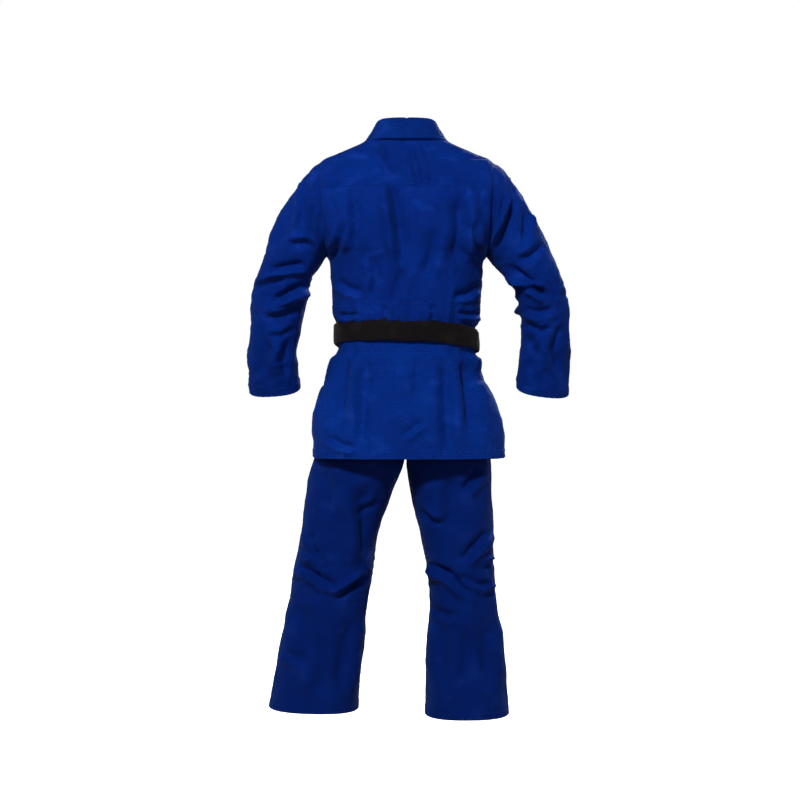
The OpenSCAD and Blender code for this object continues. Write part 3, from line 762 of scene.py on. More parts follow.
ARM_BACK_FOLDS = {
    LEFT: [
        [[(346, 140), (296, 152), (242, 158)], 9, 7, 0.8], [[(332, 66), (288, 90), (242, 112)], 9, 10, 1.0],
        [[(238, 372), (255, 315), (258, 232)], 7, 5, 0.8],
        [[(270, 330), (302, 250), (322, 190)], 14, 5, 0.7],
        [[(258, 62), (300, 34), (356, 26)], 9, 5, 0.7], [[(286, -10), (306, -70), (296, -130)], 13, 5, 0.7],
        [[(366, 10), (348, -50), (364, -120)], 13, 4.5, -0.7],
        [[(380, 100), (330, 116), (292, 128)], 9, 4, -0.8],
        [[(226, 196), (248, 210), (292, 206)], 9, 5, 0.8], [[(272, 8), (312, -18), (352, -14)], 9, 3, 0.8],
        [[(232, 300), (236, 250), (228, 205)], 9, 5, -0.7],
    ],
    RIGHT: [
        [[(-246, 160), (-300, 116), (-356, 68)], 9, 9, 0.9],
        [[(-262, 112), (-300, 100), (-344, 92)], 7, 9, -0.9],
        [[(-216, 348), (-208, 280), (-206, 200)], 7, 6, -0.8],
        [[(-266, 322), (-242, 252), (-218, 190)], 8, 9, 0.9],
        [[(-291, 290), (-294, 250), (-288, 208)], 9, 6, -0.8],
        [[(-284, 52), (-326, 40), (-380, 52)], 9, 5, 0.8],
        [[(-300, 0), (-318, -60), (-306, -130)], 13, 5, -0.7],
        [[(-384, 20), (-366, -50), (-386, -120)], 12, 5, 0.7],
        [[(-340, 214), (-300, 176), (-268, 166)], 10, 5, 0.7],
        [[(-290, 20), (-330, -4), (-366, 6)], 9, 3.5, -0.8],
    ],
}
ARM_FRONT_FOLDS = [
    [[(252, 112), (300, 92), (362, 96)], 9, 9, 0.9], [[(262, 74), (312, 58), (372, 70)], 9, 8, -0.9],
    [[(256, 146), (296, 140), (346, 160)], 10, 6, 0.8], [[(276, 40), (320, 18), (372, 26)], 10, 5, 0.8],
    [[(222, 190), (256, 226), (276, 276)], 12, 7, 0.8], [[(226, 250), (250, 286), (254, 330)], 10, 5, -0.7],
    [[(300, 250), (322, 214), (330, 180)], 12, 5, 0.7], [[(296, -20), (318, -70), (312, -126)], 12, 5, 0.7],
    [[(372, 0), (358, -60), (378, -116)], 12, 4, -0.7],
]


def limb_point(stations, s, angle):
    """A point on a sleeve or leg; s counts stations upwards, angle 0 is the outer side."""
    table = [[i] + row for i, row in enumerate(stations)]
    inner_x, inner_z, outer_x, outer_z, y, deep, lean = [curve(table, s, k) for k in range(1, 8)]
    side = np.sign(stations[0][2] - stations[0][0])
    turn = np.radians(side * angle)
    across, out = rounded(np.cos(turn)), deep * rounded(np.sin(turn))
    x = (inner_x + outer_x) / 2 + (outer_x - inner_x) / 2 * across
    z = (inner_z + outer_z) / 2 + (outer_z - inner_z) / 2 * across
    tilt = np.radians(lean)
    return np.stack([x, y + out * np.cos(tilt), z - out * np.sin(tilt)], -1), rounded(np.sin(turn))


def limb_levels(stations, low, high, spacing):
    """Station values from low to high that are evenly spaced along the limb."""
    s = np.linspace(low, high, 300)
    p = sum(limb_point(stations, s, np.full(300, a))[0] for a in (0.0, 90.0, 180.0, 270.0)) / 4
    length = np.concatenate([[0], np.cumsum(np.linalg.norm(np.diff(p, axis=0), axis=1))])
    rows = int(length[-1] / spacing) + 2
    return np.interp(np.linspace(0, length[-1], rows), length, s)


def limb_grid(stations, levels, columns, first=180.0, span=360.0):
    closed = span == 360.0
    angles = first + np.linspace(0, span, columns, endpoint=not closed)
    s, angle = np.broadcast_arrays(levels[:, None], angles[None, :])
    p, facing = limb_point(stations, s, angle)
    return p, facing, s


def arm_relief(side, p, facing, s):
    x, z = p[..., 0], p[..., 2]
    back, front = smooth(0.5 + 0.9 * facing), smooth(0.5 - 0.9 * facing)
    relief = back * folds(x, z, ARM_BACK_FOLDS[side]) + front * folds(np.abs(x), z, ARM_FRONT_FOLDS)
    loose = smooth((8 - s) / 0.8) * smooth(s / 0.3)
    seed = 7 * side
    relief = relief + loose * (3.4 * crinkle((0.8 * x + p[..., 1]) / 44 + seed, z / 66)
                               + 1.0 * crinkle((x + 0.7 * p[..., 1]) / 17, z / 26 + seed))
    relief = relief * smooth((8 - s) / 0.7)
    elbow = np.exp(-(((z - 92) / 46) ** 2))
    relief = relief + elbow * 2.2 * crinkle((x - p[..., 1]) / 60, z / 15 + seed)
    seam = -1.8 * np.exp(-(((np.abs(x) - ARM_SEAM_X) / 2.6) ** 2)) * smooth((z - 190) / 30)
    return relief + seam


def arm_body(side, high):
    """The bodies that a stretch of sleeve bends between; high is its upper end in stations."""
    name = SIDE_NAME[side]
    if high > ARM_SPLIT:
        direction = np.array([SHOULDER_TURN[0] * side, 0, SHOULDER_TURN[1]])
        direction /= np.linalg.norm(direction)
        start, end = (list(direction * reach) for reach in SHOULDER_BEND)
        return "jacket", name + "_sleeve", start, end
    return name + "_sleeve", name + "_forearm", [308 * side, 0, 116], [326 * side, -14, 4]


def sleeve(side):
    stations, name = ARMS[side], SIDE_NAME[side]
    levels = limb_levels(stations, 0.05, ARM_TOP, 4.4)
    p, facing, s = limb_grid(stations, levels, 84)
    whole = Cloth(p, wrap=True).lift(arm_relief(side, p, facing, s))
    split = int(np.argmin(np.abs(levels - ARM_SPLIT)))
    lower, upper = whole.part(0, split + 1), whole.part(split, len(levels))
    hem = int(np.argmin(np.abs(levels - 0.32)))
    line, up = whole.p[hem], whole.normal()[hem]
    lower.sew_along(np.vstack([line, line[:1]]), np.vstack([up, up[:1]]))
    make(lower, name + "_lower_sleeve", JACKET_T, "jacket_weave", arm_body(side, ARM_SPLIT),
         [name + "_lower_sleeve"], ends=(False, True))
    make(upper, name + "_upper_sleeve", JACKET_T, "jacket_weave", arm_body(side, ARM_TOP),
         [name + "_upper_sleeve"], ends=(True, True))


def cuff(side):
    stations, name = ARMS[side], SIDE_NAME[side]
    levels = np.linspace(0, 0.24, 9)
    p, facing, s = limb_grid(stations, levels, 120)
    cloth = Cloth(p, wrap=True).lift(arm_relief(side, p, facing, s) + 1.2)
    round_cuff = np.sin(np.arange(120) * 2 * np.pi * 30 / 120)[None]
    pucker = 0.5 * round_cuff * np.sin(np.pi * levels / 0.24)[:, None]
    cloth.lift(pucker)
    cloth.sew(row=0.86).sew(row=0.12)
    return make(cloth, name + "_cuff", 4.6, "jacket_weave", name + "_forearm", [name + "_cuff"])


def armpit_gusset(side):
    """A diamond under the arm, from the body's side over the peak of the armpit to the sleeve."""
    rows, columns = 24, 28
    t, u = np.linspace(0, 1, rows)[:, None], np.linspace(-1, 1, columns)[None]
    wide = 26 * (1 - np.abs(2 * t - 1)) ** 0.8 + 3
    # From the body's side, up to the armpit's peak and down along the sleeve
    path = route([(188, 0, 156), (191, 0, 174), (198, 0, 187), (204, 0, 184), (211, 0, 172)], rows)
    x, z = path[:, 0][:, None], path[:, 2][:, None]
    p = np.stack(np.broadcast_arrays(side * (x + 0 * u), -side * wide * u, z - 1.6 + 0 * u), -1)
    cloth = Cloth(p)
    cloth.lift(0.8 * crinkle(p[..., 1] / 20, p[..., 0] / 20))
    cloth.sew(row=0.08).sew(row=0.92)
    name = SIDE_NAME[side]
    return make(cloth, name + "_armpit_gusset", 1.6, "jacket_weave", arm_body(side, ARM_TOP),
                [name + "_armpit_gusset"])


# ---------------------------------------------------------------- jacket skirt
SKIRT_HEM_Z, SKIRT_TOP_Z = -316, -14
SKIRT_SECTION = 2.8
SKIRT_SIDE = {
    LEFT: [[-316, 234], [-281, 236], [-247, 242], [-222, 240], [-179, 224], [-147, 212], [-122, 198],
           [-92, 194], [-61, 188], [-44, 178], [-14, 170]],
    RIGHT: [[-316, 246], [-281, 244], [-247, 241], [-192, 226], [-141, 203], [-122, 189], [-107, 186],
            [-80, 188], [-57, 180], [-40, 174], [-14, 170]],
}
SKIRT_DEPTH = {
    BACK: [[-316, 177], [-222, 168], [-147, 151], [-84, 136], [-50, 128], [-14, 119]],
    FRONT: [[-316, 188], [-222, 171], [-147, 152], [-84, 136], [-50, 127], [-14, 118]],
}
SKIRT_EDGE = [[-316, 128], [-66, 104], [-14, 100]]
# Where the back panel's side edges run, as a share of the half width
VENT_SHARE = {LEFT: [[-316, 0.93], [-250, 0.91], [-150, 0.985], [-110, 0.999], [-14, 0.9995]],
              RIGHT: [[-316, 0.84], [-220, 0.86], [-150, 0.93], [-118, 0.999], [-14, 0.9995]]}
SKIRT_BACK_FOLDS = [
    [[(98, -46), (106, -190), (112, -316)], 17, 7, 0.8],
    [[(-90, -46), (-96, -190), (-102, -316)], 17, 7, -0.8],
    [[(16, -268), (-14, -244), (-46, -220)], 9, 3.5, 0.8],
    [[(198, -262), (160, -282), (116, -292)], 9, 4, 0.8],
    [[(150, -60), (158, -140), (166, -230)], 14, 5, -0.7],
    [[(-146, -64), (-150, -150), (-156, -260)], 14, 5, 0.7],
    [[(-20, -60), (-26, -120), (-20, -180)], 12, 3, 0.6],
    [[(44, -60), (38, -110), (44, -170)], 11, 3, -0.6],
    [[(206, -60), (209, -150), (212, -230)], 5, 3, 0.5],
]
SKIRT_FRONT_FOLDS = [
    [[(130, -60), (140, -180), (150, -300)], 15, 6, 0.8],
    [[(60, -90), (66, -190), (70, -300)], 14, 4, -0.7],
    [[(-150, -60), (-160, -180), (-170, -300)], 15, 6, -0.8],
    [[(-40, -120), (-50, -210), (-56, -300)], 14, 4, 0.7],
    [[(190, -90), (200, -180), (206, -270)], 12, 4, 0.6], [[(10, -90), (0, -130), (-6, -170)], 10, 3, 0.6],
]


def skirt_half(x_sign, z):
    return np.where(x_sign >= 0, curve(SKIRT_SIDE[LEFT], z), curve(SKIRT_SIDE[RIGHT], z))


def skirt_point(turn, z):
    """A point of the skirt: turn is in degrees counterclockwise from +X, so the back is at 90."""
    c = rounded(np.cos(np.radians(turn)), SKIRT_SECTION)
    s = rounded(np.sin(np.radians(turn)), SKIRT_SECTION)
    deep = np.where(s >= 0, curve(SKIRT_DEPTH[BACK], z), curve(SKIRT_DEPTH[FRONT], z))
    return np.stack([skirt_half(c, z) * c, deep * s, z + 0 * c], -1)


def skirt_turn(share):
    """How far from the side, in degrees, a point at that share of the half width is."""
    return np.degrees(np.arccos(np.clip(share, 0, 1) ** (SKIRT_SECTION / 2)))


def skirt_relief(p):
    x, y, z = p[..., 0], p[..., 1], p[..., 2]
    back, front = smooth(0.5 + y / 60), smooth(0.5 - y / 60)
    relief = back * folds(x, z, SKIRT_BACK_FOLDS) + front * folds(x, z, SKIRT_FRONT_FOLDS)
    low = smooth((-40 - z) / 60)
    # The back hangs in one broad panel, and falls away from it at both sides
    hollow = smooth((z - SKIRT_HEM_Z - 30) / 60) * smooth((-25 - z) / 50)
    left_edge, right_edge = 96 - 0.05 * (z + 60), -84 + 0.05 * (z + 60)
    away = smooth((x - left_edge) / 46) * smooth((206 - x) / 40)
    away = away + smooth((right_edge - x) / 46) * smooth((196 + x) / 40)
    relief = relief - 12 * back * hollow * away
    gather = np.exp(-(((z + 52) / 20) ** 2)) * 1.8 * np.sin(x / 8 + 1.6 * np.sin(x / 19))
    wave = low * 3.2 * np.sin(x / 21 + 1.3 * np.sin(x / 47 + 1) + 0.004 * z)
    hem = np.exp(-(((z - SKIRT_HEM_Z - 18) / 5) ** 2)) * 0.9 * np.sin(x / 2.7 + 2 * np.sin(x / 30))
    relief = relief + gather + wave + hem
    return relief + 2.6 * crinkle((x + 0.5 * y) / 52 + 3, z / 60) + 0.6 * crinkle(x / 18, z / 24)


def skirt_cloth(first, last, z, columns, lift=0.0, sink=0.0):
    """Skirt cloth between two edges, each a turn for each height."""
    turns = even(first, last, columns)
    zz = np.broadcast_to(z[:, None], turns.shape)
    p = skirt_point(turns, zz)
    # Under the belt the cloth is pressed flat
    pressed = 6 * smooth((z + 72) / 16)[:, None]
    return Cloth(p).lift(skirt_relief(p) + lift - sink - pressed)


def skirt_edges(name, z):
    """First and last turn of each skirt panel."""
    left_back = skirt_turn(curve(VENT_SHARE[LEFT], z))
    right_back = 180 - skirt_turn(curve(VENT_SHARE[RIGHT], z))
    edge = curve(SKIRT_EDGE, z)
    left_front = 270 - np.degrees(np.arcsin((edge / skirt_half(-1, z)) ** (SKIRT_SECTION / 2)))
    right_front = 270 + np.degrees(np.arcsin((edge / skirt_half(1, z)) ** (SKIRT_SECTION / 2)))
    wrap = 5 * smooth((-70 - z) / 60)
    return {"back": (left_back, right_back),
            "left": (left_front, 360 + left_back + wrap),
            "right": (right_back - wrap, right_front)}[name]


def skirt_body(panel):
    flap = "back_flap" if panel == "back" else "front_flap"
    y = 127 if panel == "back" else -127
    return "jacket", flap, [0, y, -60], [0, y, -122]


# A front panel lies a little under the back one, and the right front under the left
SKIRT_SINK = {"back": 0, "left": 2.5, "right": 2.5}
SKIRT_NODES = {"back": ("back_skirt", "back_skirt_hem"), "left": ("left_front_skirt", "left_skirt_hem"),
               "right": ("right_front_skirt", "right_skirt_hem")}


def under_left(turns):
    """How far the right front sinks, to lie under the left one where they overlap."""
    return UNDER * smooth((turns - 214) / 22)


def skirt_panel(panel):
    """One panel of the skirt and its turned hem."""
    node, hem_node = SKIRT_NODES[panel]
    columns = 130 if panel == "back" else 100
    z = np.linspace(SKIRT_HEM_Z + 2, SKIRT_TOP_Z, 72)
    first, last = skirt_edges(panel, z)
    sink = SKIRT_SINK[panel] + (under_left(even(first, last, columns)) if panel == "right" else 0)
    cloth = skirt_cloth(first, last, z, columns, sink=sink)
    cloth.sew(column=0.04, span=(0, 0.66)).sew(column=0.96, span=(0, 0.66 if panel != "left" else 1))
    make(cloth, node, 2.6, "skirt_cotton", skirt_body(panel), [node])
    z = np.linspace(SKIRT_HEM_Z, SKIRT_HEM_Z + 18, 8)
    first, last = skirt_edges(panel, z)
    columns *= 2
    sink = SKIRT_SINK[panel] + (under_left(even(first, last, columns)) if panel == "right" else 0)
    hem = skirt_cloth(first, last, z, columns, lift=1.1, sink=sink)
    hem.sew(row=0.84).sew(row=0.1)
    make(hem, hem_node, 4.4, "skirt_cotton", skirt_body(panel), [hem_node])


def vent_patch(side):
    """A small square that strengthens the top of a side slit."""
    rows, columns = 16, 10
    z = np.linspace(-124, -72, rows)
    edge = skirt_turn(curve(VENT_SHARE[side], z))
    near, far = edge + 1.0, edge + 13
    first, last = (near, far) if side == LEFT else (180 - far, 180 - near)
    cloth = skirt_cloth(first, last, z, columns, lift=1.6)
    cloth.sew(row=0.1).sew(row=0.9).sew(column=0.12).sew(column=0.88)
    name = SIDE_NAME[side] + "_vent_patch"
    return make(cloth, name, 1.6, "skirt_cotton", skirt_body("back"), [name])


def skirt_lapel(side):
    """The lapel band below the belt, on the front edge of one skirt panel."""
    z = np.linspace(SKIRT_HEM_Z + 1, SKIRT_TOP_Z, 72)
    edge = curve(SKIRT_EDGE, z)
    free = np.degrees(np.arcsin((edge / skirt_half(-side, z)) ** (SKIRT_SECTION / 2)))
    sewn = np.degrees(np.arcsin(((edge - LAPEL_W) / skirt_half(-side, z)) ** (SKIRT_SECTION / 2)))
    first, last = (270 - free, 270 - sewn) if side == LEFT else (270 + sewn, 270 + free)
    columns = 32
    t = np.linspace(0, 1, columns)[None]
    cloth = skirt_cloth(first, last, z, columns, sink=0 if side == LEFT else UNDER + 1)
    free_of_belt = 0.25 + 0.75 * smooth((-56 - z) / 16)[:, None]
    padding = 1.6 + 1.3 * np.sin(np.pi * t) ** 0.6 + 1.0 * np.abs(np.sin(7 * np.pi * t)) ** 0.7
    cloth.lift(padding * free_of_belt)
    for k in range(1, 7):
        cloth.sew(column=k / 7, stitch=4.2, width=0.9)
    cloth.sew(column=0.04).sew(column=0.96)
    name = SIDE_NAME[side] + "_skirt_lapel"
    return make(cloth, name, 4.4, "collar_cotton", skirt_body("front"), [name])


# ---------------------------------------------------------------- belt
BELT_W, BELT_T = 48, 3.6
BELT_SIDE, BELT_DEPTH = 174, 125.5


def belt_wrap(name, layer, seed):
    """One turn of the belt, higher at the back and on the left, woven in rows."""
    columns, rows = 220, 23
    angle = np.radians(np.arange(columns) * 360 / columns)[None]
    t = np.linspace(-0.5, 0.5, rows)[:, None]
    grow = layer * (BELT_T + 0.4) + BELT_T
    x = (BELT_SIDE + grow) * rounded(np.cos(angle)) + 0 * t
    y = (BELT_DEPTH + grow) * rounded(np.sin(angle)) + 0 * t
    middle = -18 + 15 * np.sin(angle) + 9 * np.cos(angle) - 4 * layer
    middle = middle + 1.6 * noise(6 * np.cos(angle) + seed, 6 * np.sin(angle) + seed)
    cloth = Cloth(np.stack([x, y, middle + BELT_W * t + 0 * x], -1), wrap=True)
    ribs = 0.45 * np.abs(np.sin(np.pi * 11 * (t + 0.5))) ** 0.8
    edge = -1.2 * smooth((np.abs(t) - 0.44) / 0.06)
    soft = 1.1 * noise(5 * np.cos(angle) + 3 * seed, 5 * np.sin(angle) + 2 * t)
    cloth.lift(ribs + edge + soft * (0.5 + layer))
    for k in range(1, 11) if layer else (1, 10):
        cloth.sew(row=k / 11, stitch=3.4, space=1.8, width=0.8)
    return make(cloth, name, BELT_T, "belt_cotton", "jacket", [name])


def band(middle, across, width, count=60, rows=22, seed=0.0):
    """A strip of belt along a route. across holds the direction of its width at each route point."""
    line, side = route(middle, count), route(across, count)
    side /= np.linalg.norm(side, axis=1, keepdims=True)
    t = np.linspace(0.5, -0.5, rows)[:, None, None]
    cloth = Cloth(line[None] + side[None] * width * t)
    flat = t[..., 0]
    along = np.linspace(0, 1, count)[None]
    ribs = 0.45 * np.abs(np.sin(np.pi * 9 * (flat + 0.5))) ** 0.8
    edge = -1.2 * smooth((np.abs(flat) - 0.43) / 0.07)
    cloth.lift(ribs + edge + 0.8 * noise(along * 9 + seed, flat * 2 + seed))
    for k in range(1, 9):
        cloth.sew(row=k / 9, stitch=3.4, space=1.8, width=0.8)
    return cloth


def belt_knot():
    """The flat knot: one strip comes over both wraps, the other crosses it and is pulled through."""
    over = band([(-36, -122, -12), (-28, -134, -12), (-14, -145, -16), (6, -151, -28), (24, -149, -44),
                 (31, -143, -67)],
                [(0.35, 0, 1), (0.4, 0, 1), (0.55, 0, 1), (0.62, 0, 1), (0.75, 0, 0.9), (1, 0, 0.7)],
                40, seed=3)
    make(over, "belt_knot_over", BELT_T, "belt_cotton", "jacket", ["belt_knot"])
    cross = band([(44, -128, -14), (36, -138, -16), (20, -146, -24), (0, -147, -36), (-18, -144, -50),
                  (-30, -143, -68)],
                 [(-0.3, 0, 1), (-0.35, 0, 1), (-0.5, 0, 1), (-0.65, 0, 1), (-0.8, 0, 0.8), (-1, 0, 0.6)],
                 38, seed=8)
    make(cross, "belt_knot_cross", BELT_T, "belt_cotton", "jacket", ["belt_knot"])
    loop = band([(-42, -129, -10), (-44, -138, -20), (-38, -146, -26), (-22, -150, -26), (-6, -153, -22),
                 (6, -150, -14), (8, -138, -10), (6, -126, -10)],
                [(0.1, 0, 1), (0.1, 0, 1), (0.05, 0, 1), (0, 0, 1), (-0.2, 0, 1), (-0.5, 0, 1),
                 (-0.8, 0, 0.8),
                 (-1, 0, 0.6)], 30, seed=5)
    make(loop, "belt_knot_loop", BELT_T, "belt_cotton", "jacket", ["belt_knot"])


def belt_end(side):
    """One free end of the belt, hanging from the knot over the front skirt."""
    name = SIDE_NAME[side] + "_belt_end"
    middle, across = [(side * 30, -143, -70)], [(1, 0, 0.3 * side)]
    hang = ((30, 32, 0.3), (80, 36, 0.16), (130, 42, 0.1), (180, 47, 0.06), (235, 51, 0.05))
    for drop, shift, turn in hang:
        z = -54.0 - drop
        y = -float(curve(SKIRT_DEPTH[FRONT], z)) - 12 - 2 * math.sin(drop / 30 + side)
        middle.append((side * shift, y, z))
        across.append((1, 0.1 * math.sin(drop / 40 + 2 * side), turn * side))
    across = [(-a, -b, -c) for a, b, c in across]
    cloth = band(middle, across, BELT_W - 5, count=110, rows=26, seed=4.0 * side + 9)
    for at in (0.955, 0.975):
        cloth.sew(column=at, width=0.9)
    body = ("front_flap", name.replace("end", "tail"), [side * 30, -140, -66], [side * 32, -146, -102])
    return make(cloth, name, BELT_T, "belt_cotton", body, [name])


# ---------------------------------------------------------------- trousers
TROUSER_T = 2
SEAT_SIDE = [[-150, 179], [-100, 171], [-64, 162], [-20, 160], [24, 158]]
SEAT_DEPTH = [[-150, 128], [-100, 119], [-64, 106], [-20, 102], [24, 101]]
# Stations from hem to hip, as for the sleeves
LEFT_LEG = [
    [119, -937, 341, -931, 22, 108, 0], [113, -800, 316, -800, 16, 106, 0], [97, -690, 293, -690, 8, 105, 0],
    [83, -600, 279, -600, 0, 105, 0], [72, -515, 262, -515, 0, 107, 0], [40, -410, 249, -410, 0, 110, 0],
    [5, -325, 234, -325, 0, 112, 0], [1, -240, 194, -240, 0, 109, 0], [1, -140, 153, -140, 0, 98, 0],
]
RIGHT_LEG = [
    [-46, -951, -254, -949, 22, 106, 0], [-54, -800, -238, -800, 16, 105, 0],
    [-59, -690, -226, -690, 8, 105, 0],
    [-54, -600, -219, -600, 0, 105, 0], [-37, -515, -216, -515, 0, 107, 0],
    [-14, -410, -214, -410, 0, 110, 0],
    [-2, -325, -209, -325, 0, 112, 0], [-1, -240, -192, -240, 0, 109, 0], [-1, -140, -153, -140, 0, 98, 0],
]
LEGS = {LEFT: LEFT_LEG, RIGHT: RIGHT_LEG}
LEG_SPLIT, LEG_TOP = 3.9, 8.0
LEG_BACK_FOLDS = {
    LEFT: [
        [[(118, -372), (102, -470), (92, -586)], 20, 9, 0.7],
        [[(278, -580), (228, -600), (160, -637)], 9, 8, 0.9],
        [[(178, -664), (138, -634), (92, -604)], 9, 9, -0.9],
        [[(230, -600), (214, -618), (196, -638)], 7, 5, 0.8],
        [[(236, -492), (226, -536), (214, -582)], 10, 4.5, 0.8],
        [[(206, -330), (190, -400), (196, -470)], 18, 5, -0.7],
        [[(262, -660), (246, -740), (262, -840)], 20, 5, 0.7],
        [[(140, -700), (150, -790), (168, -900)], 20, 6, -0.7],
        [[(64, -420), (96, -446), (130, -452)], 10, 4, 0.7],
        [[(260, -540), (240, -552), (208, -548)], 9, 3.5, 0.8],
        [[(300, -780), (276, -800), (240, -806)], 12, 3, 0.7],
        [[(214, -740), (204, -820), (214, -900)], 18, 4, 0.6],
    ],
    RIGHT: [
        [[(-136, -408), (-158, -370), (-182, -334)], 11, 7, 0.8],
        [[(-128, -574), (-166, -532), (-204, -490)], 11, 7, 0.8],
        [[(-46, -576), (-104, -600), (-158, -654)], 10, 10, 0.9],
        [[(-124, -600), (-166, -620), (-214, -636)], 8, 5, 0.8],
        [[(-222, -572), (-204, -580), (-186, -582)], 8, 6, 0.8],
        [[(-224, -642), (-206, -650), (-186, -650)], 8, 6, 0.8],
        [[(-100, -350), (-108, -430), (-100, -500)], 20, 6, 0.7],
        [[(-72, -660), (-86, -760), (-80, -880)], 20, 5, 0.7],
        [[(-200, -700), (-190, -790), (-204, -890)], 20, 6, -0.7],
        [[(-140, -720), (-146, -800), (-136, -880)], 18, 4, 0.6],
        [[(-60, -690), (-96, -700), (-130, -694)], 10, 4, 0.8],
        [[(-30, -440), (-60, -470), (-96, -480)], 10, 4, -0.8],
    ],
}
LEG_FRONT_FOLDS = [
    [[(60, -380), (110, -430), (160, -440)], 13, 6, 0.8],
    [[(200, -360), (180, -440), (186, -510)], 18, 6, -0.7],
    [[(90, -560), (150, -574), (230, -560)], 12, 5, 0.8],
    [[(100, -668), (160, -650), (220, -664)], 12, 6, -0.8],
    [[(130, -720), (150, -800), (158, -900)], 20, 6, 0.7],
    [[(220, -700), (212, -790), (226, -890)], 20, 5, -0.7],
    [[(110, -470), (150, -500), (200, -500)], 11, 4, 0.7],
    [[(120, -330), (128, -420), (120, -500)], 20, 5, 0.6],
]


def leg_relief(side, p, facing, s):
    x, y, z = p[..., 0], p[..., 1], p[..., 2]
    back, front = smooth(0.5 + 0.9 * facing), smooth(0.5 - 0.9 * facing)
    near = np.abs(x) if side == LEFT else np.abs(x) + 20
    relief = back * folds(x, z, LEG_BACK_FOLDS[side]) + front * folds(near, z, LEG_FRONT_FOLDS)
    loose = smooth((8 - s) / 1.2) * smooth(s / 0.25)
    seed = 5 * side
    knee = np.exp(-(((z + 610) / 60) ** 2))
    rumple = 3.4 * crinkle((0.8 * x + y) / 60 + seed, z / 110) + 0.7 * crinkle((x + y) / 24, z / 40)
    relief = relief + loose * rumple
    outseam = -1.2 * np.exp(-(((y - 6) / 3) ** 2)) * smooth((np.abs(x) - 130) / 30) * smooth((s - 0.2) / 0.1)
    return relief + knee * 2.4 * crinkle((x - y) / 60, z / 22 + seed) + outseam


def trouser_leg(side):
    stations, name = LEGS[side], SIDE_NAME[side]
    levels = limb_levels(stations, 0.03, LEG_TOP, 5.6)
    p, facing, s = limb_grid(stations, levels, 110)
    whole = Cloth(p, wrap=True).lift(leg_relief(side, p, facing, s))
    split = int(np.argmin(np.abs(levels - LEG_SPLIT)))
    shin, thigh = whole.part(0, split + 1), whole.part(split, len(levels))
    make(shin, name + "_shin", TROUSER_T, "trouser_drill", shin_body(side), [name + "_shin"],
         ends=(False, True))
    x = 100 * side
    body = ("jacket", name + "_upper_leg", [x, 0, -80], [x, 0, -300])
    make(thigh, name + "_thigh", TROUSER_T, "trouser_drill", body, [name + "_thigh"],
         ends=(True, True))


def shin_body(side):
    x = 180 if side == LEFT else -136
    name = SIDE_NAME[side]
    return name + "_upper_leg", name + "_lower_leg", [x, 0, -532], [x, 0, -676]


def trouser_hem(side):
    stations, name = LEGS[side], SIDE_NAME[side]
    levels = np.linspace(0, 0.115, 8)
    p, facing, s = limb_grid(stations, levels, 160)
    cloth = Cloth(p, wrap=True).lift(leg_relief(side, p, facing, s) + 0.9)
    cloth.sew(row=0.86).sew(row=0.12)
    return make(cloth, name + "_trouser_hem", 3.6, "trouser_drill", name + "_lower_leg",
                [name + "_trouser_hem"])


def knee_patch(side):
    """The second layer over the front of the knee, sewn round its edges and across."""
    stations, name = LEGS[side], SIDE_NAME[side]
    levels = limb_levels(stations, 1.55, 4.65, 5.6)
    p, facing, s = limb_grid(stations, levels, 60, first=208 if side == LEFT else 28, span=124)
    cloth = Cloth(p).lift(leg_relief(side, p, facing, s) + 1.9)
    cloth.sew(row=0.02).sew(row=0.98).sew(column=0.03).sew(column=0.97)
    for k in range(1, 5):
        cloth.sew(row=k / 5, span=(0.03, 0.97))
    return make(cloth, name + "_knee_patch", 1.7, "trouser_drill", shin_body(side), [name + "_knee_patch"])


def seat_grid(low, high, rows, columns=140, inset=0.0):
    angle = np.radians(np.arange(columns) * 360 / columns)[None]
    z = np.linspace(low, high, rows)[:, None]
    x = (curve(SEAT_SIDE, z) - inset) * rounded(np.cos(angle))
    y = (curve(SEAT_DEPTH, z) - inset) * rounded(np.sin(angle))
    return np.stack(np.broadcast_arrays(x, y, z + 0 * x), -1)


def trouser_top():
    p = seat_grid(-150, -20, 20)
    gather = 1.2 * smooth((p[..., 2] + 80) / 60) * np.sin(np.arange(140) * 2 * np.pi * 28 / 140)[None]
    seat = Cloth(p, wrap=True).lift(gather - 1.5)
    seat.sew(row=0.97)
    make(seat, "trouser_seat", TROUSER_T, "trouser_drill", "jacket", ["trouser_seat"])
    p = seat_grid(-20, 20, 14)
    gather = 1.1 * np.sin(np.arange(140) * 2 * np.pi * 35 / 140)[None] + 0 * p[..., 0]
    waistband = Cloth(p, wrap=True).lift(gather - 1.5)
    waistband.sew(row=0.1).sew(row=0.9)
    make(waistband, "trouser_waistband", 2.4, "trouser_drill", "jacket", ["trouser_waistband"])
    tape = Cloth(seat_grid(-5, 5, 6, inset=6.5), wrap=True)
    tape.lift(0.8 * np.sin(np.pi * np.linspace(0, 1, 6))[:, None] + 0 * tape.p[..., 0])
    make(tape, "drawstring", 2, "drawstring_cord", "jacket", ["drawstring"])
    loops = Cloth(seat_grid(-12, 12, 8, inset=9.5)[:, 96:114])
    make(loops, "drawstring_loops", 1.4, "trouser_drill", "jacket", ["drawstring_loops"])


def crotch_gusset():
    """The diamond between the legs, arched from front to back."""
    rows, columns = 20, 30
    t, u = np.linspace(-1, 1, rows)[:, None], np.linspace(-1, 1, columns)[None]
    half = 6 + 24 * (1 - np.abs(u))
    x = half * t
    y = -52 * u + 0 * t
    z = -300 + 20 * u**2 + 8 * t**2
    cloth = Cloth(np.stack(np.broadcast_arrays(x, y, z), -1))
    cloth.sew(row=0.08).sew(row=0.92)
    return make(cloth, "crotch_gusset", 1.6, "trouser_drill", "jacket", ["crotch_gusset"])


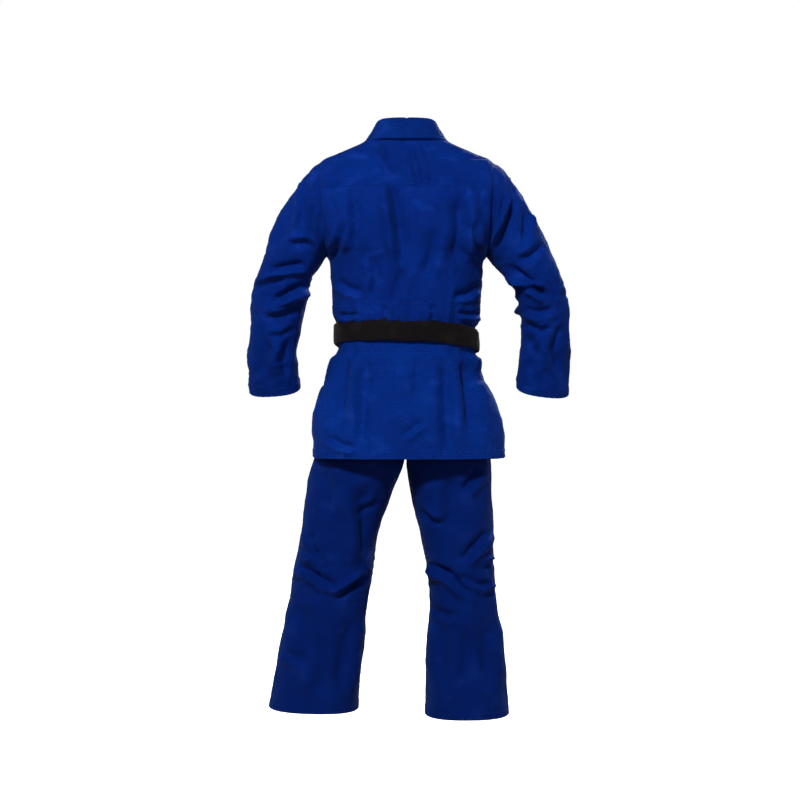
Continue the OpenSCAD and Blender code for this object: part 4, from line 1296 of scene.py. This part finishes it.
# ---------------------------------------------------------------- the uniform
jacket_back()
waist_strip()
shoulder_yoke()
collar()
for side in (LEFT, RIGHT):
    jacket_front(side)
    shoulder_patch_front(side)
    sleeve(side)
    cuff(side)
    armpit_gusset(side)
    vent_patch(side)
    skirt_lapel(side)
    belt_end(side)
    trouser_leg(side)
    trouser_hem(side)
    knee_patch(side)
for panel in ("back", "left", "right"):
    skirt_panel(panel)
belt_wrap("belt_inner_wrap", 0, 2.0)
belt_wrap("belt_outer_wrap", 1, 5.0)
belt_knot()
trouser_top()
crotch_gusset()


# ---------------------------------------------------------------- the surroundings
def studio():
    mesh = bpy.data.meshes.new("floor")
    size, z = 30.0, FLOOR_Z * MM
    corners = [(-size, -size, z), (size, -size, z), (size, size, z), (-size, size, z)]
    mesh.from_pydata(corners, [], [(0, 1, 2, 3)])
    floor = bpy.data.objects.new("floor", mesh)
    bpy.context.scene.collection.objects.link(floor)
    s = Shader("floor")
    shader = s.node("ShaderNodeBsdfPrincipled", {
        "Base Color": (0.85, 0.85, 0.85, 1), "Roughness": 0.8,
        "Emission Color": (1, 1, 1, 1), "Emission Strength": 1.0})
    s.tree.links.new(shader.outputs[0], s.node("ShaderNodeOutputMaterial").inputs["Surface"])
    mesh.materials.append(s.material)
    floor.visible_diffuse = False
    world = bpy.data.worlds.new("studio")
    world.use_nodes = True
    nodes, links = world.node_tree.nodes, world.node_tree.links
    background = nodes["Background"]
    background.inputs["Color"].default_value = (1, 1, 1, 1)
    background.inputs["Strength"].default_value = AMBIENT
    white = nodes.new("ShaderNodeBackground")
    white.inputs["Strength"].default_value = 1.0
    white.inputs["Color"].default_value = (1, 1, 1, 1)
    either = nodes.new("ShaderNodeMixShader")
    links.new(nodes.new("ShaderNodeLightPath").outputs["Is Camera Ray"], either.inputs[0])
    links.new(background.outputs[0], either.inputs[1])
    links.new(white.outputs[0], either.inputs[2])
    links.new(either.outputs[0], nodes["World Output"].inputs["Surface"])
    bpy.context.scene.world = world
    bpy.context.scene.view_settings.view_transform = "Standard"
    for name, place, power, size in LIGHTS:
        light = bpy.data.lights.new(name, "AREA")
        light.energy, light.size = power, size
        lamp = bpy.data.objects.new(name, light)
        lamp.location = place
        lamp.rotation_euler = (Vector((0, 0, -0.1)) - Vector(place)).to_track_quat("-Z", "Y").to_euler()
        bpy.context.scene.collection.objects.link(lamp)


AMBIENT = 0.1
LIGHTS = [
    ("key", (0.9, 3.4, 2.2), 190, 0.45),
    ("fill", (-0.9, 3.6, 0.1), 26, 0.8),
    ("front", (-1.3, -3.2, 2.1), 190, 0.6),
    ("left_rim", (3.4, -1.0, 0.9), 34, 0.7),
    ("right_rim", (-3.4, -1.0, 0.9), 34, 0.7),
]
studio()
